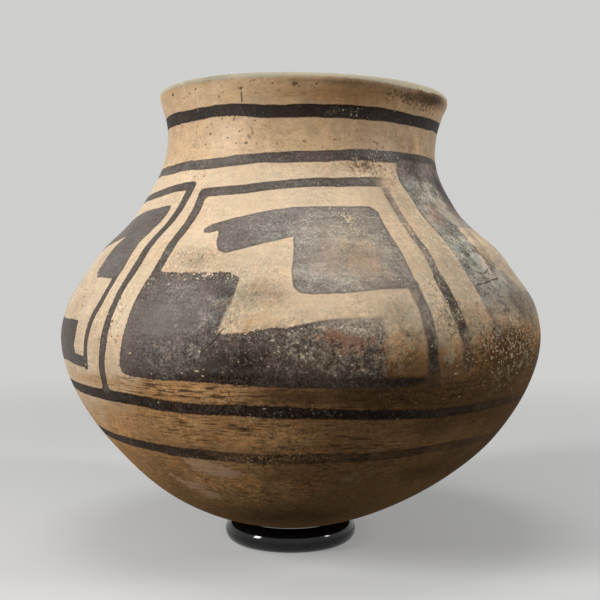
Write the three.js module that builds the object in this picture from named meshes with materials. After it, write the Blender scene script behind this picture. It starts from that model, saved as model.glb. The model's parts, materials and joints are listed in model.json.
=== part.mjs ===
// A hand-built pottery olla: a round-bottomed jar that stands loose on a glossy display ring.
//
// The jar is one piece of fired clay. It has a round base, a wide belly that is fullest a little
// below half height, a long sloping shoulder, a short neck and a lip that turns outwards.
// The ring is a turned hoop with a flat underside. The jar's base dips into it and rests on it.
//
// Millimetres, +Z up. The origin is on the table, under the centre of the belly, and the panel
// that faces the viewer looks along -Y.

import * as THREE from 'three';
import { mergeVertices } from 'three/addons/utils/BufferGeometryUtils.js';

// Jar: radii of the outside, and rises from one level to the next
const BASE_CURVE = 130;        // radius of the ball that the round base is part of
const BASE_REACH = 36;         // how far out from the middle the base follows that ball
const BELLY_RADIUS = 137.5;
const SHOULDER_RADIUS = 92.5;  // where the shoulder turns into the neck
const THROAT_RADIUS = 78;      // the neck's narrowest place
const RIM_RADIUS = 83.5;
const BELLY_RISE = 110.4;      // from the jar's lowest point to the belly
const SHOULDER_RISE = 71.2;    // from the belly to the foot of the neck
const NECK_RISE = 37.5;        // from the foot of the neck to the throat
const FLARE_RISE = 26.9;       // from the throat to the outer edge of the lip
const NECK_LEAN = 33;          // degrees from upright at the foot of the neck
const FLARE_LEAN = 10;         // degrees from upright at the lip
const WALL = 5.5;
const LIP_THICKNESS = 4.6;

// Jar: how full each curve is, as a share of the straight distance that it spans
const LOWER_WALL_FULLNESS = [0.43, 0.23];
const SHOULDER_FULLNESS = [0.36, 0.15];
const NECK_FULLNESS = [0.41, 0.33];
const FLARE_FULLNESS = [0.51, 0.37];

// Jar: the wander of a pot that is coiled and scraped by hand
const BASE_SHIFT = 6;          // the base sits this far to the left of the belly
const BASE_SHIFT_FROM = 4;     // above the jar's lowest point, where the shift starts to fade
const BASE_SHIFT_FADE = 50;    // the rise over which it fades out
const NECK_SHIFT = 1.7;        // the foot of the neck sits this far to the left of the belly
const NECK_SHIFT_RISE = 30;    // the rise below the foot of the neck over which it builds up
const RIM_SHIFT = 1.6;         // the rim sits this far to the right of the belly
const RIM_DROP = 3.2;          // the rim is this much lower at its right edge than at its left

// Display ring
const RING_OUTER_RADIUS = 38;
const RING_SECTION = 13;       // diameter of the round section
const RING_FOOT_WIDTH = 5;     // width of the flat under the section
const SEAT_CLEARANCE = 0.3;    // between the base and the ring that it rests on

// Fineness of the mesh
const STEPS_AROUND = 64;
const ROWS = { base: 4, lowerWall: 9, shoulder: 6, neck: 5, flare: 3, lip: 4 };
const RING_SECTION_STEPS = 16;

const radians = THREE.MathUtils.degToRad;

/** Where the ring's round section is centred, and how high the jar's lowest point then lies. */
function seat() {
  const sectionRadius = RING_SECTION / 2;
  const centreRadius = RING_OUTER_RADIUS - sectionRadius;
  const centreHeight = Math.sqrt(sectionRadius ** 2 - (RING_FOOT_WIDTH / 2) ** 2);
  const reach = BASE_CURVE + SEAT_CLEARANCE + sectionRadius;
  const ballHeight = centreHeight + Math.sqrt(reach ** 2 - centreRadius ** 2);
  return { sectionRadius, centreRadius, centreHeight, jarBottom: ballHeight - BASE_CURVE };
}

const SEAT = seat();

/** Heights above the table of the jar's main levels. */
function levels() {
  const bottom = SEAT.jarBottom;
  const belly = bottom + BELLY_RISE;
  const shoulder = belly + SHOULDER_RISE;
  const throat = shoulder + NECK_RISE;
  return { bottom, belly, shoulder, throat, rim: throat + FLARE_RISE };
}

const LEVEL = levels();

/** A curve from one point to the next, leaving and arriving in the directions given. */
function swept(from, fromDirection, to, toDirection, fullness, rows) {
  const span = from.distanceTo(to);
  return new THREE.CubicBezierCurve(
    from,
    from.clone().addScaledVector(fromDirection, fullness[0] * span),
    to.clone().addScaledVector(toDirection, -fullness[1] * span),
    to,
  ).getPoints(rows).slice(1);
}

/** The outside of the jar as (radius, height) points, from the middle of the base to the lip. */
function outsideProfile() {
  const baseAngle = Math.asin(BASE_REACH / BASE_CURVE);
  const base = [];
  for (let i = 0; i <= ROWS.base; i++) {
    const angle = (baseAngle * i) / ROWS.base;
    base.push(new THREE.Vector2(
      BASE_CURVE * Math.sin(angle),
      LEVEL.bottom + BASE_CURVE * (1 - Math.cos(angle)),
    ));
  }

  const baseEnd = base[base.length - 1];
  const belly = new THREE.Vector2(BELLY_RADIUS, LEVEL.belly);
  const shoulder = new THREE.Vector2(SHOULDER_RADIUS, LEVEL.shoulder);
  const throat = new THREE.Vector2(THROAT_RADIUS, LEVEL.throat);
  const rim = new THREE.Vector2(RIM_RADIUS, LEVEL.rim);

  const upright = new THREE.Vector2(0, 1);
  const baseTangent = new THREE.Vector2(Math.cos(baseAngle), Math.sin(baseAngle));
  const neckLean = new THREE.Vector2(-Math.sin(radians(NECK_LEAN)), Math.cos(radians(NECK_LEAN)));
  const flareLean = new THREE.Vector2(Math.sin(radians(FLARE_LEAN)), Math.cos(radians(FLARE_LEAN)));

  return [
    ...base,
    ...swept(baseEnd, baseTangent, belly, upright, LOWER_WALL_FULLNESS, ROWS.lowerWall),
    ...swept(belly, upright, shoulder, neckLean, SHOULDER_FULLNESS, ROWS.shoulder),
    ...swept(shoulder, neckLean, throat, upright, NECK_FULLNESS, ROWS.neck),
    ...swept(throat, upright, rim, flareLean, FLARE_FULLNESS, ROWS.flare),
  ];
}

/** Unit normals of an outside profile, pointing out of the clay. */
function outwardNormals(points) {
  return points.map((point, i) => {
    if (i === 0) return new THREE.Vector2(0, -1);
    const before = points[i - 1];
    const after = points[Math.min(i + 1, points.length - 1)];
    const along = after.clone().sub(before).normalize();
    return new THREE.Vector2(along.y, -along.x);
  });
}

/** The whole section of the jar: outside up to the lip, round the lip, and down the inside. */
function jarSection() {
  const outside = outsideProfile();
  const normals = outwardNormals(outside);
  const inside = outside.map((point, i) => {
    const thinning = THREE.MathUtils.smoothstep(point.y, LEVEL.shoulder, LEVEL.rim);
    const thickness = THREE.MathUtils.lerp(WALL, LIP_THICKNESS, thinning);
    return point.clone().addScaledVector(normals[i], -thickness);
  });
  inside[0].x = 0;

  const outerEdge = outside[outside.length - 1];
  const innerEdge = inside[inside.length - 1];
  const lipCentre = outerEdge.clone().add(innerEdge).multiplyScalar(0.5);
  const lip = [];
  for (let i = 1; i < ROWS.lip; i++) {
    const spoke = outerEdge.clone().sub(lipCentre);
    lip.push(spoke.rotateAround(new THREE.Vector2(), (Math.PI * i) / ROWS.lip).add(lipCentre));
  }
  return [...outside, ...lip, ...inside.reverse()];
}

/** The ring's section: a round bar with a flat along its underside. */
function ringSection() {
  const footAngle = Math.asin(RING_FOOT_WIDTH / 2 / SEAT.sectionRadius);
  const sweep = 2 * Math.PI - 2 * footAngle;
  const points = [];
  for (let i = 0; i <= RING_SECTION_STEPS; i++) {
    const angle = footAngle + (sweep * i) / RING_SECTION_STEPS;
    points.push(new THREE.Vector2(
      SEAT.centreRadius + SEAT.sectionRadius * Math.sin(angle),
      SEAT.centreHeight - SEAT.sectionRadius * Math.cos(angle),
    ));
  }
  points.push(points[0].clone());
  return points;
}

/** Turns a section round the upright axis, as one closed skin with +Z up. */
function turned(section) {
  const geometry = new THREE.LatheGeometry(section, STEPS_AROUND);
  geometry.rotateX(Math.PI / 2);
  geometry.deleteAttribute('uv');
  geometry.deleteAttribute('normal');
  return mergeVertices(geometry, 1e-4);
}

/** Moves the points of the turned jar to where a hand-built one has them. */
function leanByHand(geometry) {
  const position = geometry.getAttribute('position');
  const fadeFrom = LEVEL.bottom + BASE_SHIFT_FROM;
  const neckShiftFrom = LEVEL.shoulder - NECK_SHIFT_RISE;
  for (let i = 0; i < position.count; i++) {
    const x = position.getX(i);
    const z = position.getZ(i);
    const atBase = 1 - THREE.MathUtils.smoothstep(z, fadeFrom, fadeFrom + BASE_SHIFT_FADE);
    const atRim = THREE.MathUtils.smoothstep(z, LEVEL.shoulder, LEVEL.rim);
    const atNeck = (1 - atRim) * THREE.MathUtils.smoothstep(z, neckShiftFrom, LEVEL.shoulder);
    position.setX(i, x - BASE_SHIFT * atBase - NECK_SHIFT * atNeck + RIM_SHIFT * atRim);
    position.setZ(i, z - (RIM_DROP / 2) * (x / RIM_RADIUS) * atRim);
  }
  geometry.computeVertexNormals();
  return geometry;
}

function makeJar() {
  const slip = new THREE.MeshStandardMaterial({ color: 0xcfa77b, roughness: 0.75, metalness: 0 });
  const jar = new THREE.Mesh(leanByHand(turned(jarSection())), slip);
  jar.name = 'olla_jar';
  return jar;
}

function makeRing() {
  const polish = new THREE.MeshStandardMaterial({ color: 0x0a0a0b, roughness: 0.12, metalness: 0 });
  const geometry = turned(ringSection());
  geometry.computeVertexNormals();
  const ring = new THREE.Mesh(geometry, polish);
  ring.name = 'display_ring';
  ring.position.x = -BASE_SHIFT;
  return ring;
}

const olla = new THREE.Group();
olla.add(makeJar(), makeRing());

export default olla;
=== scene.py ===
# %% [markdown]
# A painted water jar on a display ring.
#
# The jar is an olla: a round-bottomed pot, coiled, scraped and burnished by hand, and painted
# with brown-black mineral paint on a cream slip. It can't stand by itself, so it rests on a
# glossy black ring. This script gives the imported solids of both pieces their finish.
# Everything is in metres, +Z up, and the viewer stands on the -Y side.

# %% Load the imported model
import json
import math

import bmesh
import bpy
import mathutils
import numpy as np
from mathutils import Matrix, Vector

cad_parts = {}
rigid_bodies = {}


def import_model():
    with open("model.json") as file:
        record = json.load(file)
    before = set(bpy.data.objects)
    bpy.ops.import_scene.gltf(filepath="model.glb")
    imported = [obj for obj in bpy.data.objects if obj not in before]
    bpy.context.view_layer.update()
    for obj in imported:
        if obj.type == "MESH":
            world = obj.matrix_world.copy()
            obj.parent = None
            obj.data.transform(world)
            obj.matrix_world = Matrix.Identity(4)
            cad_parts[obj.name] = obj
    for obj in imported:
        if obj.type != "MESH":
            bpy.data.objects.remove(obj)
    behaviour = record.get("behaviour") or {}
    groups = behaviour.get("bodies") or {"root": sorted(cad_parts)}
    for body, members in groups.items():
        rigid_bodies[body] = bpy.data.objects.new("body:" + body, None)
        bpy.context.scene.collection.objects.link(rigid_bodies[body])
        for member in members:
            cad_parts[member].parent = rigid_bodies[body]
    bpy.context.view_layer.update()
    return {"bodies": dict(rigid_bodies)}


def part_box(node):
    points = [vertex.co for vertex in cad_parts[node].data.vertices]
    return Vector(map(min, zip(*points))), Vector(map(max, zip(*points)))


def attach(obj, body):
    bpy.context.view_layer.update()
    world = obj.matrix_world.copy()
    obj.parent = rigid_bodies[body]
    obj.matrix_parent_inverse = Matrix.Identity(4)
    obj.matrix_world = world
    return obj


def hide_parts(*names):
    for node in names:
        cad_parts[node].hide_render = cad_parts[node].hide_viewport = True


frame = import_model()
print("bodies:", ", ".join(frame["bodies"]))

MM = 0.001

# %% [markdown]
# A node tree is a list of small boxes and wires. Here an output of a box is a Value, and a sum
# on Values adds the Math nodes that work it out, so the rules of a finish read as plain sums.
# A few short functions make the other boxes.

# %% Helpers that build node trees


class Value:
    """An output of a node, by its place or its name. Sums on it add Math nodes."""

    def __init__(self, node, key=0):
        self.node, self.key = node, key

    def __getitem__(self, key):
        """Another output of the same node."""
        return Value(self.node, key)

    def __add__(self, other):
        return maths("ADD", self, other)

    def __sub__(self, other):
        return maths("SUBTRACT", self, other)

    def __rsub__(self, other):
        return maths("SUBTRACT", other, self)

    def __mul__(self, other):
        return maths("MULTIPLY", self, other)

    def __truediv__(self, other):
        return maths("DIVIDE", self, other)

    def __rtruediv__(self, other):
        return maths("DIVIDE", other, self)

    def clamped(self):
        """Keeps the last sum between 0 and 1."""
        self.node.use_clamp = True
        return self


def fill(node, inputs):
    """Fills a node's inputs with plain values, or with wires from Values."""
    for key, value in inputs.items():
        if isinstance(value, Value):
            node.id_data.links.new(value.node.outputs[value.key], node.inputs[key])
        else:
            node.inputs[key].default_value = value


def add(tree, kind, inputs=None, **settings):
    """Adds a node, sets its settings, fills its inputs, and returns its first output."""
    node = tree.nodes.new(kind)
    for name, value in settings.items():
        setattr(node, name, value)
    fill(node, inputs or {})
    return Value(node)


def tree_of(*inputs):
    """The tree that the inputs belong to. One of them at least is a Value."""
    return next(item.node.id_data for item in inputs if isinstance(item, Value))


def maths(operation, *inputs):
    """One Math node, in the tree of its inputs."""
    return add(tree_of(*inputs), "ShaderNodeMath", dict(enumerate(inputs)), operation=operation)


def remap(value, from_low, from_high, to_low=0.0, to_high=1.0, smooth=True):
    """Stretches a range of values onto another one, with soft ends."""
    inputs = dict(enumerate((value, from_low, from_high, to_low, to_high)))
    kind = "SMOOTHSTEP" if smooth else "LINEAR"
    return add(tree_of(value), "ShaderNodeMapRange", inputs, interpolation_type=kind)


def blend(share, first, second, kind="MIX"):
    """Blends two colours."""
    tree = tree_of(share, first, second)
    inputs = {"Factor": share, 6: first, 7: second}
    return add(tree, "ShaderNodeMix", inputs, data_type="RGBA", blend_type=kind)[2]


def tinted(tone, tint, share=1.0):
    """Multiplies a colour by a tint or a shade, by the share given."""
    return blend(share, tone, tint, "MULTIPLY")


def bumped(height):
    """A normal from a height in millimetres."""
    inputs = {"Strength": 1.0, "Distance": MM, "Height": height}
    return add(tree_of(height), "ShaderNodeBump", inputs)


def new_group(name, kind, inputs, outputs):
    """An empty node group and its inputs, each given as a name, a kind of socket and a default."""
    group = bpy.data.node_groups.new(name, kind)
    for label, socket, default in inputs:
        made = group.interface.new_socket(label, in_out="INPUT", socket_type=socket)
        if default is not None:
            made.default_value = default
    for label, socket in outputs:
        group.interface.new_socket(label, in_out="OUTPUT", socket_type=socket)
    return group, add(group, "NodeGroupInput")


def new_material(name):
    """An empty material and its Principled node."""
    material = bpy.data.materials.new(name)
    material.use_nodes = True
    return material, material.node_tree.nodes["Principled BSDF"]


def colour(red, green, blue):
    """An opaque colour, in linear light."""
    return (red, green, blue, 1.0)


def place_in_scene(name, data):
    """A new object in the scene, at the origin."""
    made = bpy.data.objects.new(name, data)
    bpy.context.scene.collection.objects.link(made)
    return made


# %% [markdown]
# The camera comes first. The photograph was taken from a little over half a metre, level with
# the upper belly, so the outline bulges towards the lens and only the front of the lip shows.
# The eye level lies a little above the middle of the picture, which a small lens shift gives
# without tipping the camera.

# %% Camera
IMAGE_WIDTH_PX = 600
EYE_LEVEL_ROW_PX = 268
JAR_AXIS_COLUMN_PX = 300.75
FOCAL_LENGTH_PX = 1023
SENSOR_WIDTH_MM = 36
CAMERA_DISTANCE = 602 * MM
CAMERA_HEIGHT = 158.1 * MM


def make_camera():
    lens = bpy.data.cameras.new("camera")
    lens.sensor_width = SENSOR_WIDTH_MM
    lens.lens = SENSOR_WIDTH_MM * FOCAL_LENGTH_PX / IMAGE_WIDTH_PX
    lens.shift_y = (EYE_LEVEL_ROW_PX - IMAGE_WIDTH_PX / 2) / IMAGE_WIDTH_PX
    camera = place_in_scene("camera", lens)
    off_axis = (IMAGE_WIDTH_PX / 2 - JAR_AXIS_COLUMN_PX) / FOCAL_LENGTH_PX * CAMERA_DISTANCE
    camera.location = (off_axis, -CAMERA_DISTANCE, CAMERA_HEIGHT)
    camera.rotation_euler = (math.radians(90), 0, 0)
    bpy.context.scene.camera = camera
    print("camera lens:", round(lens.lens, 2), "mm")


make_camera()

# %% [markdown]
# The jar's outline is a rule: a ball-shaped base, then four soft curves through the belly, the
# foot of the neck, the throat and the lip. These are the same named sizes that the solid was
# built from, so the fine surface lies on the solid. A pot is turned clay with a wall, so the
# section runs up the outside, over the lip and down the inside.

# %% The jar's section
BASE_CURVE = 130 * MM
BASE_REACH = 36 * MM
BELLY_RADIUS = 137.5 * MM
SHOULDER_RADIUS = 92.5 * MM
THROAT_RADIUS = 78 * MM
RIM_RADIUS = 83.5 * MM
BELLY_RISE = 110.4 * MM
SHOULDER_RISE = 71.2 * MM
NECK_RISE = 37.5 * MM
FLARE_RISE = 26.9 * MM
NECK_LEAN = math.radians(33)
FLARE_LEAN = math.radians(10)
WALL = 5.5 * MM
LIP_THICKNESS = 4.6 * MM
# How full each curve is at its ends, as a share of the straight distance that it spans
LOWER_WALL_FULLNESS = (0.43, 0.23)
SHOULDER_FULLNESS = (0.36, 0.15)
NECK_FULLNESS = (0.41, 0.33)
FLARE_FULLNESS = (0.51, 0.37)

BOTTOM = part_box("olla_jar")[0].z
BELLY = BOTTOM + BELLY_RISE
SHOULDER = BELLY + SHOULDER_RISE
THROAT = SHOULDER + NECK_RISE
RIM = THROAT + FLARE_RISE

ROWS = {"base": 10, "lower_wall": 54, "shoulder": 46, "neck": 20, "flare": 16, "lip": 10}
INSIDE_ROWS = 26
STEPS_AROUND = 480


def swept(start, leaving, end, arriving, fullness, rows):
    """Points of a curve that leaves and arrives in the directions given, without its start."""
    span = np.linalg.norm(end - start)
    near = start + leaving * fullness[0] * span
    far = end - arriving * fullness[1] * span
    t = np.linspace(0, 1, rows + 1)[1:, None]
    s = 1 - t
    return s**3 * start + 3 * s**2 * t * near + 3 * s * t**2 * far + t**3 * end


def outside_section():
    """The outside as rows of (radius, height), from the middle of the base up to the lip."""
    base_angle = math.asin(BASE_REACH / BASE_CURVE)
    turn = np.linspace(0, base_angle, ROWS["base"] + 1)
    base = np.c_[BASE_CURVE * np.sin(turn), BOTTOM + BASE_CURVE * (1 - np.cos(turn))]
    belly = np.array([BELLY_RADIUS, BELLY])
    shoulder = np.array([SHOULDER_RADIUS, SHOULDER])
    throat = np.array([THROAT_RADIUS, THROAT])
    rim = np.array([RIM_RADIUS, RIM])
    along_base = np.array([math.cos(base_angle), math.sin(base_angle)])
    upright = np.array([0.0, 1.0])
    neck = np.array([-math.sin(NECK_LEAN), math.cos(NECK_LEAN)])
    flare = np.array([math.sin(FLARE_LEAN), math.cos(FLARE_LEAN)])
    return np.vstack([
        base,
        swept(base[-1], along_base, belly, upright, LOWER_WALL_FULLNESS, ROWS["lower_wall"]),
        swept(belly, upright, shoulder, neck, SHOULDER_FULLNESS, ROWS["shoulder"]),
        swept(shoulder, neck, throat, upright, NECK_FULLNESS, ROWS["neck"]),
        swept(throat, upright, rim, flare, FLARE_FULLNESS, ROWS["flare"]),
    ])


def smoothstep(value, low, high):
    t = np.clip((value - low) / (high - low), 0, 1)
    return t * t * (3 - 2 * t)


def inward(points):
    """Unit directions square to the section, into the clay."""
    along = np.gradient(points, axis=0)
    along /= np.linalg.norm(along, axis=1)[:, None]
    direction = np.c_[-along[:, 1], along[:, 0]]
    direction[0] = (0, 1)
    return direction


def jar_section():
    """The whole section: outside, lip, and inside down to the middle of the floor."""
    outside = outside_section()
    thinning = smoothstep(outside[:, 1], SHOULDER, RIM)
    thickness = WALL + (LIP_THICKNESS - WALL) * thinning
    wall = outside + inward(outside) * thickness[:, None]
    wall[0, 0] = 0
    middle = (outside[-1] + wall[-1]) / 2
    spoke = outside[-1] - middle
    turn = np.linspace(0, math.pi, ROWS["lip"] + 1)[1:-1]
    lip = np.c_[
        middle[0] + spoke[0] * np.cos(turn) - spoke[1] * np.sin(turn),
        middle[1] + spoke[0] * np.sin(turn) + spoke[1] * np.cos(turn),
    ]
    picked = np.linspace(len(wall) - 1, 0, INSIDE_ROWS).round().astype(int)
    return np.vstack([outside, lip, wall[picked]]), len(outside)


section, OUTSIDE_ROWS = jar_section()
print("section rows:", len(section), "of which outside:", OUTSIDE_ROWS)

# %% [markdown]
# Both pieces are turned shapes, so one Geometry Nodes tree makes them both. It takes a section
# drawn as a line of points, lays out a grid with one column for each step around and one row
# for each point, and moves every corner of the grid to its place on the circle. Columns that
# meet are merged, which closes the seam and the middle of the base.
# The tree can also let the surface wander a little along its normals, because a pot that is
# scraped by hand is never truly round. The wander fades out towards the base, where the jar
# meets its ring.

# %% The tree that turns a section
MERGE_GAP = 0.01 * MM
WANDER_FADE = 30 * MM
NUMBER = "NodeSocketFloat"
VECTOR = "NodeSocketVector"
GEOMETRY = "NodeSocketGeometry"
TURNING_INPUTS = [
    ("Section", GEOMETRY, None),
    ("Steps Around", "NodeSocketInt", 64),
    ("Wander", NUMBER, 0.0),
    ("Wander Size", NUMBER, 50 * MM),
    ("Wander From", NUMBER, 0.0),
    ("Seed", NUMBER, 1.0),
    ("Finish", "NodeSocketMaterial", None),
]


def laid_out(tree, source):
    """The grid with its corners on their circles. Each keeps its row as section_row."""
    section_line = source["Section"]
    rows = add(tree, "GeometryNodeAttributeDomainSize", {0: section_line})["Point Count"]
    sides = {"Vertices X": source["Steps Around"] + 1, "Vertices Y": rows}
    grid = add(tree, "GeometryNodeMeshGrid", sides)
    index = add(tree, "GeometryNodeInputIndex")
    row = maths("MODULO", index, rows)
    angle = maths("FLOOR", index / rows) / source["Steps Around"] * math.tau
    wanted = {"Geometry": section_line, "Value": add(tree, "GeometryNodeInputPosition")}
    wanted["Index"] = row
    kind = {"data_type": "FLOAT_VECTOR", "domain": "POINT"}
    point = add(tree, "GeometryNodeSampleIndex", wanted, **kind)
    point = add(tree, "ShaderNodeSeparateXYZ", {0: point})
    across = point["X"] * maths("SINE", angle)
    towards = point["X"] * maths("COSINE", angle) * -1
    place = add(tree, "ShaderNodeCombineXYZ", {"X": across, "Y": towards, "Z": point["Z"]})
    laid = add(tree, "GeometryNodeSetPosition", {"Geometry": grid, "Position": place})
    label = {"Geometry": laid, "Name": "section_row", "Value": row}
    kind = {"data_type": "FLOAT", "domain": "POINT"}
    return add(tree, "GeometryNodeStoreNamedAttribute", label, **kind)


def wandering(tree, shape, source):
    """Moves the surface in and out by a soft noise that fades out below a given height."""
    place = add(tree, "GeometryNodeInputPosition")
    inputs = {"Vector": place, "W": source["Seed"], "Detail": 2.0}
    inputs["Scale"] = 1.0 / source["Wander Size"]
    noise = add(tree, "ShaderNodeTexNoise", inputs, noise_dimensions="4D")
    height = add(tree, "ShaderNodeSeparateXYZ", {0: place})["Z"]
    free = remap(height, source["Wander From"], source["Wander From"] + WANDER_FADE)
    inputs = {0: add(tree, "GeometryNodeInputNormal")}
    inputs["Scale"] = (noise - 0.5) * source["Wander"] * free
    offset = add(tree, "ShaderNodeVectorMath", inputs, operation="SCALE")
    return add(tree, "GeometryNodeSetPosition", {"Geometry": shape, "Offset": offset})


def make_turning_tree():
    kind = "GeometryNodeTree"
    tree, source = new_group("turned_section", kind, TURNING_INPUTS, [("Piece", GEOMETRY)])
    inputs = {"Geometry": laid_out(tree, source), "Distance": MERGE_GAP}
    merged = add(tree, "GeometryNodeMergeByDistance", inputs)
    real = add(tree, "GeometryNodeRealizeInstances", {0: wandering(tree, merged, source)})
    smooth = add(tree, "GeometryNodeSetShadeSmooth", {"Geometry": real})
    inputs = {"Geometry": smooth, "Material": source["Finish"]}
    add(tree, "NodeGroupOutput", {"Piece": add(tree, "GeometryNodeSetMaterial", inputs)})
    return tree


turning_tree = make_turning_tree()
print("turning tree nodes:", len(turning_tree.nodes))

# %% [markdown]
# The section becomes a small mesh of points in a row, and the tree turns it. Its inputs are set
# before anything looks at the object. The turned result is then copied out as a plain mesh, so
# that later steps can move and colour its points, and its faces are made to point outwards.

# %% Turn a section into a plain mesh


def turn(name, points, finish, **sizes):
    """Turns a section of (radius, height) rows and returns the piece as a plain mesh object."""
    line = bpy.data.meshes.new(name + "_section")
    corners = [(radius, 0.0, height) for radius, height in points]
    line.from_pydata(corners, [(i, i + 1) for i in range(len(corners) - 1)], [])
    drawn = place_in_scene(name + "_section", line)
    modifier = drawn.modifiers.new("turn", "NODES")
    modifier.node_group = turning_tree
    sizes["Finish"] = finish
    for item in turning_tree.interface.items_tree:
        if item.in_out == "INPUT" and item.name in sizes:
            modifier[item.identifier] = sizes[item.name]
    evaluated = drawn.evaluated_get(bpy.context.evaluated_depsgraph_get())
    mesh = bpy.data.meshes.new_from_object(evaluated)
    drawn.modifiers.remove(modifier)
    bpy.data.objects.remove(drawn)
    mesh.name = name
    point_outwards(mesh)
    print(name, "has", len(mesh.vertices), "points and", len(mesh.polygons), "faces")
    return place_in_scene(name, mesh)


def point_outwards(mesh):
    shape = bmesh.new()
    shape.from_mesh(mesh)
    bmesh.ops.recalc_face_normals(shape, faces=shape.faces)
    shape.to_mesh(mesh)
    shape.free()


# %% [markdown]
# Two small patterns are used on both pieces. A speckle group scatters dots of a chosen size and
# rarity, for pits and grit in the clay and for dust on the polish. A grain group adds a coarse
# and a fine noise together, for mottled clay and for the slight haze of a polished surface.

# %% Shared pattern groups
SPECKLE_INPUTS = [
    ("Vector", VECTOR, None),
    ("Spacing", NUMBER, 4 * MM),
    ("Dot Size", NUMBER, 0.2),
    ("Amount", NUMBER, 0.3),
]
GRAIN_INPUTS = [
    ("Vector", VECTOR, None),
    ("Coarse Size", NUMBER, 20 * MM),
    ("Fine Size", NUMBER, 1 * MM),
]


def make_speckle_group():
    """Dots of about the given size. Amount is the share of cells that hold a dot."""
    kind = "ShaderNodeTree"
    tree, source = new_group("speckle", kind, SPECKLE_INPUTS, [("Mask", NUMBER)])
    inputs = {"Vector": source["Vector"], "Scale": 1.0 / source["Spacing"]}
    cells = add(tree, "ShaderNodeTexVoronoi", inputs)
    chance = add(tree, "ShaderNodeSeparateColor", {0: cells["Color"]})
    held = maths("LESS_THAN", chance[0], source["Amount"])
    reach = source["Dot Size"] * (chance[1] + 0.4)
    dot = remap(cells["Distance"], reach * 0.5, reach, 1.0, 0.0)
    add(tree, "NodeGroupOutput", {"Mask": dot * held})
    return tree


def make_grain_group():
    """Coarse and fine noise added together, as a value around 0.5, and the fine one alone."""
    outputs = [("Value", NUMBER), ("Fine", NUMBER)]
    tree, source = new_group("grain", "ShaderNodeTree", GRAIN_INPUTS, outputs)
    inputs = {"Vector": source["Vector"], "Scale": 1.0 / source["Coarse Size"]}
    inputs.update({"Detail": 5.0, "Roughness": 0.6})
    coarse = add(tree, "ShaderNodeTexNoise", inputs)
    inputs = {"Vector": source["Vector"], "Scale": 1.0 / source["Fine Size"], "Detail": 2.0}
    fine = add(tree, "ShaderNodeTexNoise", inputs)
    add(tree, "NodeGroupOutput", {"Value": (coarse + fine) * 0.5, "Fine": fine})
    return tree


def use_group(group, inputs):
    """Places a node group in the tree that its inputs come from."""
    tree = tree_of(*inputs.values())
    return add(tree, "ShaderNodeGroup", inputs, node_tree=group)


speckle_group = make_speckle_group()
grain_group = make_grain_group()
print("pattern groups:", speckle_group.name, "and", grain_group.name)

# %% [markdown]
# The clay's finish reads two kinds of values, and here they are gathered under one name, wall.
# The first are noises, from grains of a millimetre up to clouds of two centimetres. The others
# are amounts that a later cell stores on the jar's points, such as how worn the paint is.
# An amount only says how likely a spot is. The spots themselves come from a noise, so they have
# the size and the ragged edge of real grains, and the drawing stays sharp at any size.

# %% Noises and stored amounts
# Features per metre, detail and contrast of each noise
NOISES = {
    "speck": (430, 2, 2.8),
    "grain": (560, 2, 2.5),
    "dust": (900, 1, 2.0),
    "peck": (330, 4, 2.6),
    "mottle": (160, 3, 2.6),
    "cloud": (48, 3, 2.6),
}
# Noises that are drawn out round the pot: how far, and then as above
DRAWN_OUT = {
    "streak": (8, 70, 3, 2.6),
    "dash": (5.5, 185, 3, 2.2),
}
# Two plain noises, for the kinds of earth and for slow drifts
HUE_NOISE = {"Scale": 150.0, "Detail": 4.0}
DRIFT_NOISE = {"Scale": 55.0, "Detail": 3.0}
COARSE_GRAIN = 22 * MM
RAGGED_BY = (3 * MM, 3 * MM, 3 * MM)
STORED = (
    "paint thin soft worn faded patchy rough buff brown toasted inner dashes stain tinge scuff"
    " smoke soot grit pitted holes crack_side crack_near cap soil"
).split()
# Tints of the kinds of earth in the clay: red, yellow, plain and grey-green
EARTH_TINTS = [
    (0.30, colour(1.11, 0.80, 0.67)),
    (0.43, colour(1.08, 0.98, 0.83)),
    (0.52, colour(1.0, 1.0, 1.0)),
    (0.68, colour(0.80, 0.86, 0.84)),
]
# Slow shifts of a thin mineral paint, from rosy to a cold grey
PAINT_CASTS = [
    (0.38, colour(1.16, 0.93, 0.86)),
    (0.50, colour(1.0, 1.0, 1.0)),
    (0.62, colour(0.90, 0.97, 0.93)),
]


class Wall:
    """Holds the noises and the stored amounts of one tree, each under its own name."""


def contrast(noise, strength):
    """Spreads a noise value around 0.5 over the whole range from 0 to 1."""
    return ((noise - 0.5) * strength + 0.5).clamped()


def noise_of(vector, scale, detail, strength):
    """Soft noise, spread over 0 to 1."""
    inputs = {"Vector": vector, "Scale": scale, "Detail": detail, "Roughness": 0.6}
    return contrast(add(tree_of(vector), "ShaderNodeTexNoise", inputs), strength)


def ramp_of(value, stops):
    """A colour ramp over a value. Each stop is a position and a colour."""
    ramp = add(tree_of(value), "ShaderNodeValToRGB", {"Fac": value})
    elements = ramp.node.color_ramp.elements
    elements[0].position, elements[0].color = stops[0]
    elements[1].position, elements[1].color = stops[-1]
    for position, tint in stops[1:-1]:
        elements.new(position).color = tint
    return ramp


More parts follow.
